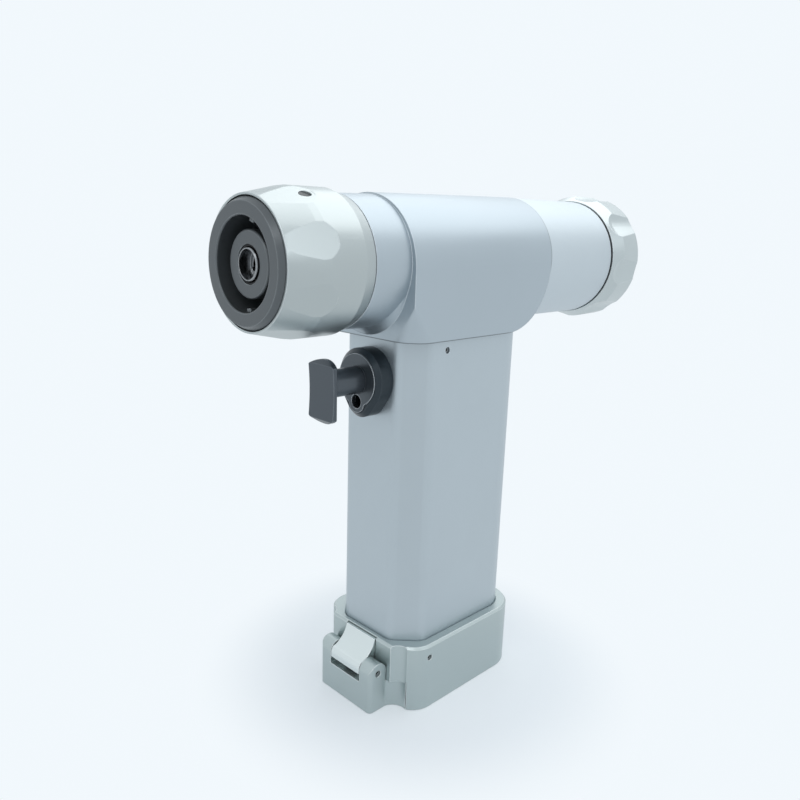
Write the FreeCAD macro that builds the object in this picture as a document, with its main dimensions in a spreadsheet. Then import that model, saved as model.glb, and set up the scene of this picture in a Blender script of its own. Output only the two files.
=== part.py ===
import FreeCAD, Part
import math
import os

import Sketcher
from FreeCAD import Placement, Rotation, Vector

# Pistol-grip surgical drill, in millimetres. The origin lies on the table under the middle of the
# grip, +Z is up and the drive socket faces -Y. The barrel axis is level, at axis_height.

os.makedirs("parts", exist_ok=True)
document = FreeCAD.newDocument("surgical_drill")
sheet = document.addObject("Spreadsheet::Sheet", "dims")

DRIVING_SIZES = [
    # Whole tool
    ("axis_height", 160.0),
    ("slip_gap", 0.3),
    ("seat_gap", 0.05),
    ("turning_gap", 0.05),
    # Grip
    ("grip_width", 41.4),
    ("grip_depth", 58.0),
    ("grip_wall", 2.0),
    ("grip_chamfer", 8.6),
    ("grip_edge_blend", 5.0),
    ("grip_back_radius", 11.0),
    ("grip_screw_setback", 15.2),
    ("grip_screw_drop", 6.6),
    # Head and barrel, stations measured from the origin along the barrel
    ("head_front", 32.6),
    ("head_back", 39.2),
    ("head_radius", 23.1),
    ("skirt_drop", 1.5),
    ("skirt_corner", 9.0),
    ("skirt_edge", 0.3),
    ("skirt_square_depth", 13.0),
    ("socket_depth", 3.1),
    ("sweep_radius", 24.0),
    ("front_barrel_radius", 21.1),
    ("front_barrel_length", 14.5),
    ("nose_length", 26.6),
    ("nose_radius", 18.2),
    ("nose_bore_radius", 16.5),
    ("drive_bore_radius", 18.5),
    ("barrel_taper", 0.3),
    ("head_slope", 1.2),
    ("chin_reach", 6.0),
    ("chin_inset", 1.0),
    # Coupling ring, boss and drive socket
    ("ring_radius", 18.9),
    ("ring_face_radius", 17.7),
    ("ring_flange", 6.0),
    ("ring_rim", 1.9),
    ("ring_spigot", 8.0),
    ("recess_radius", 13.64),
    ("boss_radius", 9.9),
    ("boss_setback", 2.4),
    ("boss_reach", 13.0),
    ("boss_flange", 14.8),
    ("key_width", 1.8),
    ("key_height", 1.1),
    ("key_length", 4.0),
    ("seal_radius", 5.7),
    ("seal_depth", 2.4),
    ("spindle_radius", 4.9),
    ("socket_bore_radius", 3.0),
    ("socket_bore_depth", 22.0),
    ("socket_mouth_radius", 4.35),
    ("socket_mouth_depth", 4.0),
    ("drive_slot_width", 1.3),
    ("drive_slot_depth", 0.75),
    # Lock sleeve
    ("sleeve_length", 30.9),
    ("sleeve_radius", 22.5),
    ("sleeve_lip_radius", 19.85),
    ("sleeve_cone", 10.7),
    ("sleeve_run_out", 4.8),
    ("sleeve_facet_start", 19.83),
    ("sleeve_facet_end", 22.42),
    ("sleeve_facet_length", 16.2),
    ("sleeve_facets", 8),
    ("sleeve_facet_turn", 69.5),
    ("sleeve_mark_radius", 1.9),
    ("sleeve_mark_depth", 0.45),
    ("sleeve_mark_station", 13.9),
    ("spring_groove_radius", 20.6),
    ("spring_groove_length", 12.0),
    ("sleeve_spring_wire", 0.9),
    # Bearings
    ("bearing_width", 5.0),
    ("bearing_radius", 9.5),
    ("bearing_race", 1.1),
    # Planetary gear
    ("gear_module", 0.8),
    ("sun_teeth", 12),
    ("planet_teeth", 12),
    ("gear_width", 9.0),
    ("gear_gap", 0.6),
    ("tooth_backlash", 0.14),
    ("carrier_thickness", 3.0),
    ("planet_pin_radius", 1.5),
    # Motor
    ("motor_length", 46.0),
    ("stator_bore", 10.4),
    ("rotor_radius", 9.9),
    ("motor_shaft_radius", 2.5),
    ("end_bell", 6.0),
    ("end_bell_wall", 1.5),
    ("motor_bearing_radius", 6.5),
    ("motor_bearing_width", 4.0),
    ("end_winding", 5.0),
    # Rear barrel, seal and knob
    ("rear_barrel_length", 42.2),
    ("rear_barrel_step", 0.2),
    ("rear_barrel_wall", 2.6),
    ("rear_inner_step", 2.0),
    ("rear_spigot_length", 8.0),
    ("joint_line", 0.15),
    ("rear_seal_gap", 1.0),
    ("knob_radius", 25.46),
    ("knob_lip", 0.4),
    ("knob_length", 17.8),
    ("knob_cone", 5.6),
    ("knob_back_radius", 25.2),
    ("knob_edge", 0.85),
    ("knob_wall", 4.0),
    ("knob_scallops", 8),
    ("knob_scallop_start", 4.0),
    ("knob_scallop_rise", 0.9),
    ("knob_turn", 55.5),
    ("knob_cutter_radius", 13.0),
    ("knob_cut_depth", 1.9),
    ("knob_stub_radius", 4.0),
    ("knob_stub_reach", 9.0),
    # Trigger
    ("trigger_drop", 14.4),
    ("boss_face", 6.7),
    ("boss_chamfer", 1.5),
    ("boss_upper_radius", 10.7),
    ("boss_lower_radius", 7.0),
    ("boss_lower_drop", 6.2),
    ("plate_upper_radius", 9.0),
    ("plate_lower_radius", 3.9),
    ("plate_lower_drop", 7.5),
    ("plate_thickness", 1.4),
    ("plate_proud", 0.3),
    ("lock_hole_radius", 2.4),
    ("stem_radius", 4.65),
    ("guide_wall", 2.5),
    ("guide_end_wall", 2.0),
    ("trigger_travel", 7.0),
    ("blade_width", 12.6),
    ("blade_height", 21.4),
    ("blade_drop", 2.2),
    ("blade_thickness", 1.9),
    ("blade_reach", 22.7),
    ("blade_hollow", 0.8),
    ("blade_crown", 2.1),
    ("blade_curl", 1.2),
    ("guide_length", 16.0),
    ("rod_radius", 1.9),
    ("spring_room", 6.0),
    ("spring_wire", 0.7),
    # Battery base
    ("collar_height", 25.4),
    ("collar_wall", 4.2),
    ("collar_pad_half_width", 16.0),
    ("collar_pad_front", 2.7),
    ("collar_notch_half_width", 20.6),
    ("collar_notch_back", 1.2),
    ("collar_pad_hollow", 4.8),
    ("collar_front_radius", 9.0),
    ("collar_back_radius", 14.0),
    ("collar_back_wall", 3.8),
    ("collar_edge", 0.8),
    ("collar_inner_edge", 0.4),
    ("base_screw_setback", 8.6),
    ("base_screw_drop", 4.9),
    ("lid_thickness", 3.2),
    ("flange_height", 10.7),
    ("flange_hollow", 5.2),
    ("flange_depth", 9.0),
    ("latch_half_width", 14.0),
    ("latch_depth", 7.9),
    ("ear_width", 5.9),
    ("ear_radius", 3.85),
    ("pin_height", 15.1),
    ("latch_pin_radius", 1.25),
    ("latch_pin_recess", 0.7),
    ("latch_pin_socket", 0.7),
    ("block_corner", 1.6),
    ("lever_brow", 0.9),
    ("lever_hollow", 9.0),
    ("lever_heel", 3.2),
    ("latch_spring_room", 6.4),
    ("lever_nose", 2.0),
    ("lever_slot_top", 13.6),
    ("catch_depth", 0.9),
    ("catch_start", 19.5),
    ("catch_rise", 3.1),
    ("hinge_pin_radius", 0.9),
    ("hinge_knuckle_radius", 1.75),
    ("hinge_half_width", 8.0),
    ("hinge_pin_length", 29.0),
    ("lid_corner_width", 7.4),
    ("lid_corner_depth", 3.0),
    # Battery and electronics
    ("gasket_thickness", 0.5),
    ("battery_height", 80.0),
    ("battery_wall", 1.2),
    ("cell_radius", 8.1),
    ("cell_height", 65.0),
    ("board_thickness", 1.6),
    ("board_setback", 34.0),
    ("board_parts_height", 1.4),
    ("sensor_half_width", 7.0),
    ("sensor_half_height", 6.0),
    ("contact_thickness", 0.4),
    ("contact_half_length", 5.0),
    ("contact_block_height", 3.0),
    ("selector_thickness", 8.8),
    ("screw_radius", 1.1),
    ("screw_recess", 0.6),
]


class Size:
    """A length with its value now and the formula by which the sheet gives it."""

    def __init__(self, value, formula):
        self.value = float(value)
        self.formula = formula

    def __add__(self, other):
        other = sized(other)
        return Size(self.value + other.value, f"({self.formula} + {other.formula})")

    def __radd__(self, other):
        return sized(other) + self

    def __sub__(self, other):
        other = sized(other)
        return Size(self.value - other.value, f"({self.formula} - {other.formula})")

    def __rsub__(self, other):
        return sized(other) - self

    def __mul__(self, other):
        other = sized(other)
        return Size(self.value * other.value, f"({self.formula} * {other.formula})")

    def __rmul__(self, other):
        return sized(other) * self

    def __truediv__(self, other):
        other = sized(other)
        return Size(self.value / other.value, f"({self.formula} / {other.formula})")

    def __neg__(self):
        return Size(-self.value, f"(0 - {self.formula})")


def sized(number):
    """Turns a plain number into a Size, and leaves a Size as it is."""
    if isinstance(number, Size):
        return number
    return Size(number, repr(float(number)))


def root(size):
    return Size(math.sqrt(size.value), f"sqrt({size.formula})")


def cosine(angle):
    angle = sized(angle)
    return Size(math.cos(math.radians(angle.value)), f"cos({angle.formula} * 1 deg)")


def sine(angle):
    angle = sized(angle)
    return Size(math.sin(math.radians(angle.value)), f"sin({angle.formula} * 1 deg)")


def tangent(angle):
    return sine(angle) / cosine(angle)


class Dimensions:
    """The driving sizes, each by its name in the sheet."""


d = Dimensions()
for row, (alias, number) in enumerate(DRIVING_SIZES, start=1):
    sheet.set(f"A{row}", alias)
    sheet.set(f"B{row}", str(number))
    sheet.setAlias(f"B{row}", alias)
    setattr(d, alias, Size(number, f"dims.{alias}"))
document.recompute()

RIGHT_ANGLE = 90
HALF_TURN = 180
FULL_TURN = 360
FAR = 60

pieces = []


def bind(thing, path, size):
    thing.setExpression(path, sized(size).formula)


def new_body(label, raised=None):
    """Starts a sub-part; raised is the height of its own origin."""
    body = document.addObject("PartDesign::Body", label)
    body.Label = label
    if raised is not None:
        bind(body, "Placement.Base.z", raised)
        body.Placement = Placement(Vector(0, 0, raised.value), Rotation())
    pieces.append(body)
    return body


def origin_plane(body, role):
    return next(part for part in body.Origin.OriginFeatures if part.Role == role)


def new_sketch(body, role, offset=None):
    """A sketch on one of the body's own planes, moved along the plane's normal by offset."""
    sketch = body.newObject("Sketcher::SketchObject", f"{body.Label}_sketch")
    sketch.AttachmentSupport = [(origin_plane(body, role), "")]
    sketch.MapMode = "FlatFace"
    if offset is not None:
        sketch.AttachmentOffset = Placement(Vector(0, 0, sized(offset).value), Rotation())
        bind(sketch, "AttachmentOffset.Base.z", offset)
    return sketch


def constrain(sketch, kind, geometry, point, size):
    """Ties one coordinate of a point to its formula, or to the axis where it is zero."""
    if not isinstance(size, Size) and size == 0:
        axis = -2 if kind == "DistanceX" else -1
        sketch.addConstraint(Sketcher.Constraint("PointOnObject", geometry, point, axis))
        return
    size = sized(size)
    index = sketch.addConstraint(Sketcher.Constraint(kind, -1, 1, geometry, point, size.value))
    sketch.setExpression(f"Constraints[{index}]", size.formula)


def outline(sketch, path):
    """Draws a closed outline of (x, y) steps; (x, y, radius, "left" or "right") arrives by an arc."""
    points = [Vector(sized(step[0]).value, sized(step[1]).value, 0) for step in path]
    count = len(path)
    ends = []
    for index, step in enumerate(path):
        start = points[index - 1]
        end = points[index]
        if len(step) == 2:
            geometry = sketch.addGeometry(Part.LineSegment(start, end), False)
            ends.append((geometry, 1, 2))
            continue
        radius = step[2].value
        left = step[3] == "left"
        chord = end - start
        middle = (start + end) * 0.5
        across = Vector(-chord.y, chord.x, 0).normalize()
        rise = math.sqrt(max(radius**2 - (chord.Length / 2) ** 2, 0))
        centre = middle + across * (rise if left else -rise)
        begin = start - centre if left else end - centre
        finish = end - centre if left else start - centre
        begin_angle = math.atan2(begin.y, begin.x)
        finish_angle = math.atan2(finish.y, finish.x)
        if finish_angle < begin_angle:
            finish_angle += 2 * math.pi
        circle = Part.Circle(centre, Vector(0, 0, 1), radius)
        arc = Part.ArcOfCircle(circle, begin_angle, finish_angle)
        geometry = sketch.addGeometry(arc, False)
        ends.append((geometry, 1, 2) if left else (geometry, 2, 1))
    for index in range(count):
        here, _, last = ends[index - 1]
        following, opening, _ = ends[index]
        sketch.addConstraint(Sketcher.Constraint("Coincident", here, last, following, opening))
    for index, step in enumerate(path):
        geometry, _, last = ends[index]
        constrain(sketch, "DistanceX", geometry, last, step[0])
        constrain(sketch, "DistanceY", geometry, last, step[1])
        if len(step) == 4:
            number = sketch.addConstraint(Sketcher.Constraint("Radius", geometry, step[2].value))
            sketch.setExpression(f"Constraints[{number}]", step[2].formula)


def circle(sketch, x, y, radius):
    radius = sized(radius)
    centre = Vector(sized(x).value, sized(y).value, 0)
    geometry = sketch.addGeometry(Part.Circle(centre, Vector(0, 0, 1), radius.value), False)
    constrain(sketch, "DistanceX", geometry, 3, x)
    constrain(sketch, "DistanceY", geometry, 3, y)
    number = sketch.addConstraint(Sketcher.Constraint("Radius", geometry, radius.value))
    sketch.setExpression(f"Constraints[{number}]", radius.formula)


def box_outline(sketch, low_x, high_x, low_y, high_y):
    outline(sketch, [(low_x, low_y), (high_x, low_y), (high_x, high_y), (low_x, high_y)])


def feature(body, kind, sketch, size=None, both_ways=False, backwards=False):
    """Pads or pockets a sketch by size."""
    made = body.newObject(f"PartDesign::{kind}", f"{body.Label}_{kind.lower()}")
    made.Profile = sketch
    sketch.Visibility = False
    bind(made, "Length", size)
    made.Length = sized(size).value
    made.Midplane = both_ways
    made.Reversed = backwards
    document.recompute()
    return made


def turn(body, sketch, kind="Revolution"):
    """Turns a sketch a full turn about its own horizontal axis, to add or to cut."""
    made = body.newObject(f"PartDesign::{kind}", f"{body.Label}_{kind.lower()}")
    made.Profile = sketch
    made.ReferenceAxis = (sketch, ["H_Axis"])
    made.Angle = FULL_TURN
    sketch.Visibility = False
    document.recompute()
    return made


def turned(label, path, raised=None):
    """A sub-part turned about the level axis through its own origin; path is (station, radius)."""
    body = new_body(label, d.axis_height if raised is None else raised)
    sketch = new_sketch(body, "YZ_Plane")
    outline(sketch, path)
    turn(body, sketch)
    return body


def groove(body, path):
    sketch = new_sketch(body, "YZ_Plane")
    outline(sketch, path)
    return turn(body, sketch, "Groove")


def ring_path(start, end, inner, outer):
    return [(start, inner), (end, inner), (end, outer), (start, outer)]


def loft(body, kind, sketches, ruled=False):
    """Joins outlines at different levels by a skin, straight between them where it is ruled."""
    skin = body.newObject(f"PartDesign::{kind}", f"{body.Label}_{kind.lower()}")
    skin.Profile = sketches[0]
    skin.Sections = sketches[1:]
    skin.Ruled = ruled
    body.Tip = skin
    document.recompute()
    return skin


def around(body, cut, sketch, axis, occurrences):
    """Repeats a feature about an axis of a sketch."""
    pattern = body.newObject("PartDesign::PolarPattern", f"{body.Label}_pattern")
    pattern.Originals = [cut]
    pattern.Axis = (sketch, [axis])
    pattern.Angle = FULL_TURN
    bind(pattern, "Occurrences", occurrences)
    pattern.Occurrences = int(occurrences.value)
    body.Tip = pattern
    document.recompute()
    return pattern


def round_edges(body, wanted, radius, kind="Fillet"):
    """Rounds or chamfers the edges of the body that the test picks."""
    base = body.Tip
    names = [f"Edge{n}" for n, edge in enumerate(base.Shape.Edges, start=1) if wanted(edge)]
    made = body.newObject(f"PartDesign::{kind}", f"{body.Label}_{kind.lower()}")
    made.Base = (base, names)
    key = "Radius" if kind == "Fillet" else "Size"
    bind(made, key, radius)
    setattr(made, key, sized(radius).value)
    document.recompute()
    return made


def upright(edge):
    """True for a straight edge along Z."""
    if not isinstance(edge.Curve, Part.Line):
        return False
    return abs(abs(edge.Curve.Direction.z) - 1) < 1e-6


def near(value, size):
    return abs(value - sized(size).value) < 1e-3


# Stations along the barrel
RING_FACE = -(d.head_front + d.front_barrel_length + d.nose_length + d.ring_flange + d.slip_gap)
NOSE_FACE = RING_FACE + d.ring_flange
BARREL_FRONT = -(d.head_front + d.front_barrel_length)
SLEEVE_BACK = BARREL_FRONT - d.slip_gap
SLEEVE_FACE = SLEEVE_BACK - d.sleeve_length
HEAD_FACE = -d.head_front
BOSS_FRONT = RING_FACE + d.boss_setback
BOSS_FLANGE = BOSS_FRONT + d.boss_reach
BOSS_BACK = BOSS_FLANGE + d.boss_flange
BEARING_START = BOSS_BACK - 2 * d.bearing_width - d.seat_gap
CARRIER_FRONT = BOSS_BACK + d.gear_gap
CARRIER_BACK = CARRIER_FRONT + d.carrier_thickness
GEAR_FRONT = CARRIER_BACK + d.gear_gap
GEAR_BACK = GEAR_FRONT + d.gear_width
MOTOR_FRONT = GEAR_BACK + d.gear_gap
MOTOR_BACK = MOTOR_FRONT + d.motor_length + 2 * d.end_bell
SPIGOT_FRONT = d.head_back - d.rear_spigot_length
REAR_FRONT = d.head_back + d.joint_line
REAR_BACK = REAR_FRONT + d.rear_barrel_length
KNOB_FRONT = REAR_BACK + d.rear_seal_gap
KNOB_BACK = KNOB_FRONT + d.knob_length
KNOB_STUB = REAR_BACK - d.knob_stub_reach
SKIRT_HEIGHT = d.head_radius + d.skirt_drop
REAR_RADIUS = d.head_radius - d.rear_barrel_step
KNOB_FRONT_RADIUS = REAR_RADIUS + d.knob_lip

# Faces of the grip and of the battery base
GRIP_FRONT = -(d.grip_depth / 2)
GRIP_BACK = d.grip_depth / 2
HALF_GRIP = d.grip_width / 2
COLLAR_SIDE = HALF_GRIP + d.collar_wall
GRIP_TOP = d.axis_height - SKIRT_HEIGHT + d.socket_depth - 0.1
TRIGGER_HEIGHT = d.axis_height - SKIRT_HEIGHT - d.trigger_drop
GRIP_FOOT = d.lid_thickness + d.gasket_thickness + d.slip_gap
COLLAR_PAD = GRIP_FRONT - d.collar_pad_front
COLLAR_BACK = GRIP_BACK + d.collar_back_wall
LATCH_FRONT = COLLAR_PAD - d.latch_depth
PIN_STATION = LATCH_FRONT + d.ear_radius
HINGE_STATION = COLLAR_BACK - d.hinge_knuckle_radius - 0.1
HINGE_HEIGHT = d.hinge_knuckle_radius + 0.15


def grip_path(inset):
    """The grip's section seen from above, drawn in by inset: bevelled in front, round behind."""
    inset = sized(inset)
    half_turn_in = tangent(22.5)
    half = HALF_GRIP - inset
    front = GRIP_FRONT + inset
    back = GRIP_BACK - inset
    leg = d.grip_chamfer - inset * (2 - root(sized(2)))
    blend = d.grip_edge_blend - inset
    reach = blend * half_turn_in
    slope = reach / root(sized(2))
    flat = half - leg
    corner = d.grip_back_radius - inset
    right = [
        (flat - reach, front),
        (flat + slope, front + slope, blend, "left"),
        (half - slope, front + leg - slope),
        (half, front + leg + reach, blend, "left"),
        (half, back - corner),
        (half - corner, back, corner, "left"),
    ]
    left = [
        (-(half - corner), back),
        (-half, back - corner, corner, "left"),
        (-half, front + leg + reach),
        (-(half - slope), front + leg - slope, blend, "left"),
        (-(flat + slope), front + slope),
        (-(flat - reach), front, blend, "left"),
    ]
    return right + left


def collar_path(pad_half, pad_front, hollow):
    """The battery base's section: a flat pad in front, hollow corners, then round ones."""
    notch = GRIP_FRONT + d.collar_notch_back
    side = COLLAR_SIDE
    bulge = d.collar_front_radius
    inner = side - bulge
    drop = root(bulge * bulge - (d.collar_notch_half_width - inner) * (d.collar_notch_half_width - inner))
    shoulder = notch + drop
    corner = d.collar_back_radius
    right = [
        (pad_half, pad_front),
        (d.collar_notch_half_width, notch, hollow, "right"),
        (side, shoulder, bulge, "left"),
        (side, COLLAR_BACK - corner),
        (side - corner, COLLAR_BACK, corner, "left"),
    ]
    left = [
        (-(side - corner), COLLAR_BACK),
        (-side, COLLAR_BACK - corner, corner, "left"),
        (-side, shoulder),
        (-d.collar_notch_half_width, notch, bulge, "left"),
        (-pad_half, pad_front, hollow, "right"),
    ]
    return right + left


def skirt_plan(body, level, corner):
    """The head's outline seen from above at one level, with its front corners rounded."""
    plan = new_sketch(body, "XY_Plane", level)
    half = d.head_radius
    outline(
        plan,
        [
            (half - corner, HEAD_FACE),
            (half, HEAD_FACE + corner, corner, "left"),
            (half, d.head_back),
            (-half, d.head_back),
            (-half, HEAD_FACE + corner),
            (-(half - corner), HEAD_FACE, corner, "left"),
        ],
    )
    return plan


def make_chin(body):
    """The hollow slope that carries the barrel's underside down to the foot of the skirt."""
    radius = d.front_barrel_radius - d.chin_inset
    fall = SKIRT_HEIGHT - d.front_barrel_radius - 0.15
    rings = []
    for third in range(4):
        share = sized(third) / 3
        ring = new_sketch(body, "XZ_Plane", -(HEAD_FACE + 0.5 - d.chin_reach * (1 - share)))
        circle(ring, 0, -(d.chin_inset - 0.05 + fall * share * share), radius)
        rings.append(ring)
    loft(body, "AdditiveLoft", rings)


def make_head_housing():
    """One milled shell: barrel, round body that rises to the back, and the skirt over the grip."""
    body = new_body("head_housing", d.axis_height)
    back = d.head_back
    square = skirt_plan(body, -d.skirt_square_depth, d.skirt_edge)
    foot = skirt_plan(body, -SKIRT_HEIGHT, d.skirt_corner)
    loft(body, "AdditiveLoft", [square, foot], ruled=True)
    half = d.head_radius
    arches = []
    for station, spring in ((HEAD_FACE, -d.head_slope), (back, sized(0))):
        arch = new_sketch(body, "XZ_Plane", -station)
        outline(
            arch,
            [
                (half, -d.skirt_square_depth),
                (half, spring),
                (0, half + spring, half, "left"),
                (-half, spring, half, "left"),
                (-half, -d.skirt_square_depth),
            ],
        )
        arches.append(arch)
    loft(body, "AdditiveLoft", arches, ruled=True)
    side = new_sketch(body, "YZ_Plane")
    sweep_start = back - d.sweep_radius
    outline(
        side,
        [
            (sweep_start, -SKIRT_HEIGHT),
            (back, d.sweep_radius - SKIRT_HEIGHT, d.sweep_radius, "left"),
            (back + 1, d.sweep_radius - SKIRT_HEIGHT),
            (back + 1, -SKIRT_HEIGHT - 1),
            (sweep_start, -SKIRT_HEIGHT - 1),
        ],
    )
    feature(body, "Pocket", side, FAR, both_ways=True)
    front_ring = new_sketch(body, "XZ_Plane", -HEAD_FACE)
    circle(front_ring, 0, -d.head_slope, half - 0.01)
    back_ring = new_sketch(body, "XZ_Plane", -back)
    circle(back_ring, 0, 0, half - 0.01)
    loft(body, "AdditiveLoft", [front_ring, back_ring], ruled=True)
    barrel = new_sketch(body, "YZ_Plane")
    outline(
        barrel,
        [
            (NOSE_FACE, 0),
            (HEAD_FACE + 1, 0),
            (HEAD_FACE + 1, d.front_barrel_radius),
            (HEAD_FACE, d.front_barrel_radius + d.barrel_taper),
            (BARREL_FRONT, d.front_barrel_radius),
            (BARREL_FRONT, d.nose_radius),
            (NOSE_FACE, d.nose_radius),
        ],
    )
    turn(body, barrel)
    make_chin(body)
    groove(body, ring_path(NOSE_FACE, BARREL_FRONT + 1, 0, d.nose_bore_radius))
    groove(body, ring_path(BARREL_FRONT + 1, SPIGOT_FRONT, 0, d.drive_bore_radius))
    spigot_bore = REAR_RADIUS - d.rear_barrel_wall
    groove(body, ring_path(SPIGOT_FRONT, back, 0, spigot_bore))
    seat = new_sketch(body, "XY_Plane", -SKIRT_HEIGHT)
    outline(seat, grip_path(-d.seat_gap))
    feature(body, "Pocket", seat, d.socket_depth, backwards=True)
    slot = new_sketch(body, "XY_Plane", -SKIRT_HEIGHT)
    box_outline(slot, -HALF_GRIP / 2, HALF_GRIP / 2, sized(-8), sized(12))
    feature(body, "Pocket", slot, SKIRT_HEIGHT - d.drive_bore_radius / 2, backwards=True)
    return body


def is_arc(edge, radius):
    return isinstance(edge.Curve, Part.Circle) and near(edge.Curve.Radius, radius)


def make_grip_housing():
    """A drawn aluminium tube with a hole for the trigger boss and two grub screw holes."""
    body = new_body("grip_housing")
    outer = new_sketch(body, "XY_Plane", GRIP_FOOT)
    outline(outer, grip_path(0))
    outline(outer, grip_path(d.grip_wall))
    feature(body, "Pad", outer, GRIP_TOP - GRIP_FOOT)
    hole = new_sketch(body, "XZ_Plane", -GRIP_FRONT - d.grip_wall - 1)
    circle(hole, 0, TRIGGER_HEIGHT, d.stem_radius + d.guide_wall + d.seat_gap)
    feature(body, "Pocket", hole, d.grip_wall + 2, backwards=True)
    screw = new_sketch(body, "YZ_Plane")
    circle(screw, GRIP_FRONT + d.grip_screw_setback, GRIP_TOP - d.grip_screw_drop, d.screw_radius)
    feature(body, "Pocket", screw, FAR, both_ways=True)
    base_screw = new_sketch(body, "YZ_Plane")
    circle(base_screw, GRIP_FRONT + d.base_screw_setback, d.collar_height - d.base_screw_drop, d.screw_radius)
    feature(body, "Pocket", base_screw, FAR, both_ways=True)
    return body


def make_grub_screws(label, station, height, outside, length):
    """A pair of socket set screws, one in each side."""
    body = new_body(label)
    right = new_sketch(body, "YZ_Plane", outside - length)
    circle(right, station, height, d.screw_radius - 0.02)
    feature(body, "Pad", right, length)
    left = new_sketch(body, "YZ_Plane", -outside)
    circle(left, station, height, d.screw_radius - 0.02)
    feature(body, "Pad", left, length)
    for place, backwards in ((outside, False), (-outside, True)):
        socket = new_sketch(body, "YZ_Plane", place)
        hexagon(socket, station, height, d.screw_radius * 0.55)
        feature(body, "Pocket", socket, length / 2, backwards=backwards)
    return body


def hexagon(sketch, x, y, radius):
    corners = []
    for step in range(6):
        corners.append((x + radius * cosine(60 * step), y + radius * sine(60 * step)))
    outline(sketch, corners)


def make_coupling():
    """The dark ring that attachments lock into, with its two keys."""
    flange_back = NOSE_FACE
    spigot_back = NOSE_FACE + d.ring_spigot
    turned(
        "coupling_ring",
        [
            (RING_FACE, d.recess_radius + 0.3),
            (RING_FACE, d.ring_face_radius),
            (RING_FACE + d.ring_rim, d.ring_radius),
            (flange_back, d.ring_radius),
            (flange_back, d.nose_bore_radius - d.seat_gap),
            (spigot_back, d.nose_bore_radius - d.seat_gap),
            (spigot_back, d.recess_radius),
            (RING_FACE + 0.3, d.recess_radius),
        ],
    )
    body = new_body("coupling_keys", d.axis_height)
    place = new_sketch(body, "XZ_Plane", -(RING_FACE + 1.2 + d.key_length))
    for turned_by in (173, 17):
        middle = d.recess_radius - d.key_height / 2 - d.seat_gap - 0.07
        key_outline(place, turned_by, middle)
    feature(body, "Pad", place, d.key_length)


def key_outline(sketch, turned_by, middle):
    """A rectangle across a radius that leans turned_by degrees from straight up."""
    corners = []
    for along, outwards in ((-1, -1), (1, -1), (1, 1), (-1, 1)):
        side = d.key_width / 2 * along
        reach = middle + d.key_height / 2 * outwards
        x = reach * sine(turned_by) + side * cosine(turned_by)
        y = reach * cosine(turned_by) - side * sine(turned_by)
        corners.append((x, y))
    outline(sketch, corners)


def make_nose_boss():
    """The fixed boss round the spindle, which also holds the two spindle bearings."""
    pocket = d.bearing_radius + d.seat_gap
    turned(
        "nose_boss",
        [
            (BOSS_FRONT, d.seal_radius + d.seat_gap),
            (BOSS_FRONT, d.boss_radius - 0.4),
            (BOSS_FRONT + 0.4, d.boss_radius),
            (BOSS_FLANGE, d.boss_radius),
            (BOSS_FLANGE, d.nose_bore_radius - d.seat_gap),
            (BOSS_BACK, d.nose_bore_radius - d.seat_gap),
            (BOSS_BACK, pocket),
            (BEARING_START, pocket),
            (BEARING_START, d.spindle_radius + d.slip_gap),
            (BOSS_FRONT + d.seal_depth, d.spindle_radius + d.slip_gap),
            (BOSS_FRONT + d.seal_depth, d.seal_radius + d.seat_gap),
        ],
    )
    seal_front = BOSS_FRONT + 0.3
    seal_back = BOSS_FRONT + d.seal_depth
    lip = (seal_front + seal_back) / 2
    turned(
        "spindle_seal",
        [
            (seal_front, d.spindle_radius + d.slip_gap),
            (seal_front, d.seal_radius),
            (seal_back, d.seal_radius),
            (seal_back, d.spindle_radius + d.slip_gap),
            (lip, d.spindle_radius + d.turning_gap),
        ],
    )


def make_bearing(label, start, bore, outer, width):
    """A shielded ball bearing drawn as one ring with recessed shields."""
    shield = d.bearing_race
    dip = sized(0.4)
    end = start + width
    inner = bore + d.turning_gap / 2
    return turned(
        label,
        [
            (start, inner),
            (start, inner + shield),
            (start + dip, inner + shield),
            (start + dip, outer - shield),
            (start, outer - shield),
            (start, outer),
            (end, outer),
            (end, outer - shield),
            (end - dip, outer - shield),
            (end - dip, inner + shield),
            (end, inner + shield),
            (end, inner),
        ],
    )


def make_spindle():
    """The hollow output spindle: a wide mouth, then a round socket with three drive slots."""
    front = BOSS_FRONT - 0.5
    bore_end = front + d.socket_bore_depth
    body = turned(
        "drive_spindle",
        [
            (front, d.socket_mouth_radius),
            (front, d.spindle_radius - 0.3),
            (front + 0.3, d.spindle_radius),
            (CARRIER_FRONT, d.spindle_radius),
            (CARRIER_FRONT, d.spindle_radius - 0.9),
            (CARRIER_BACK, d.spindle_radius - 0.9),
            (CARRIER_BACK, 0),
            (bore_end, 0),
            (bore_end, d.socket_bore_radius),
            (front + d.socket_mouth_depth, d.socket_bore_radius),
            (front + d.socket_mouth_depth, d.socket_mouth_radius),
        ],
    )
    slot = new_sketch(body, "XZ_Plane", -front)
    low = d.socket_bore_radius - 0.6
    high = d.socket_bore_radius + d.drive_slot_depth
    box_outline(slot, -d.drive_slot_width / 2, d.drive_slot_width / 2, low, high)
    cut = feature(body, "Pocket", slot, d.socket_mouth_depth + d.socket_bore_depth / 3)
    around(body, cut, slot, "N_Axis", sized(3))
    return body


def tooth_points(teeth, gear_size, widening):
    """Half-thickness angles of a tooth at its foot, pitch and tip radii."""
    module = d.gear_module.value
    pitch = teeth * module / 2
    pressure = math.radians(25)
    base = pitch * math.cos(pressure)
    involute = math.tan(pressure) - pressure
    at_pitch = math.pi / (2 * teeth) + widening / (2 * pitch)
    rows = []
    for radius in gear_size:
        lean = math.acos(min(base / max(radius, base), 1.0))
        rows.append((radius, at_pitch + involute - (math.tan(lean) - lean)))
    return rows


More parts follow.
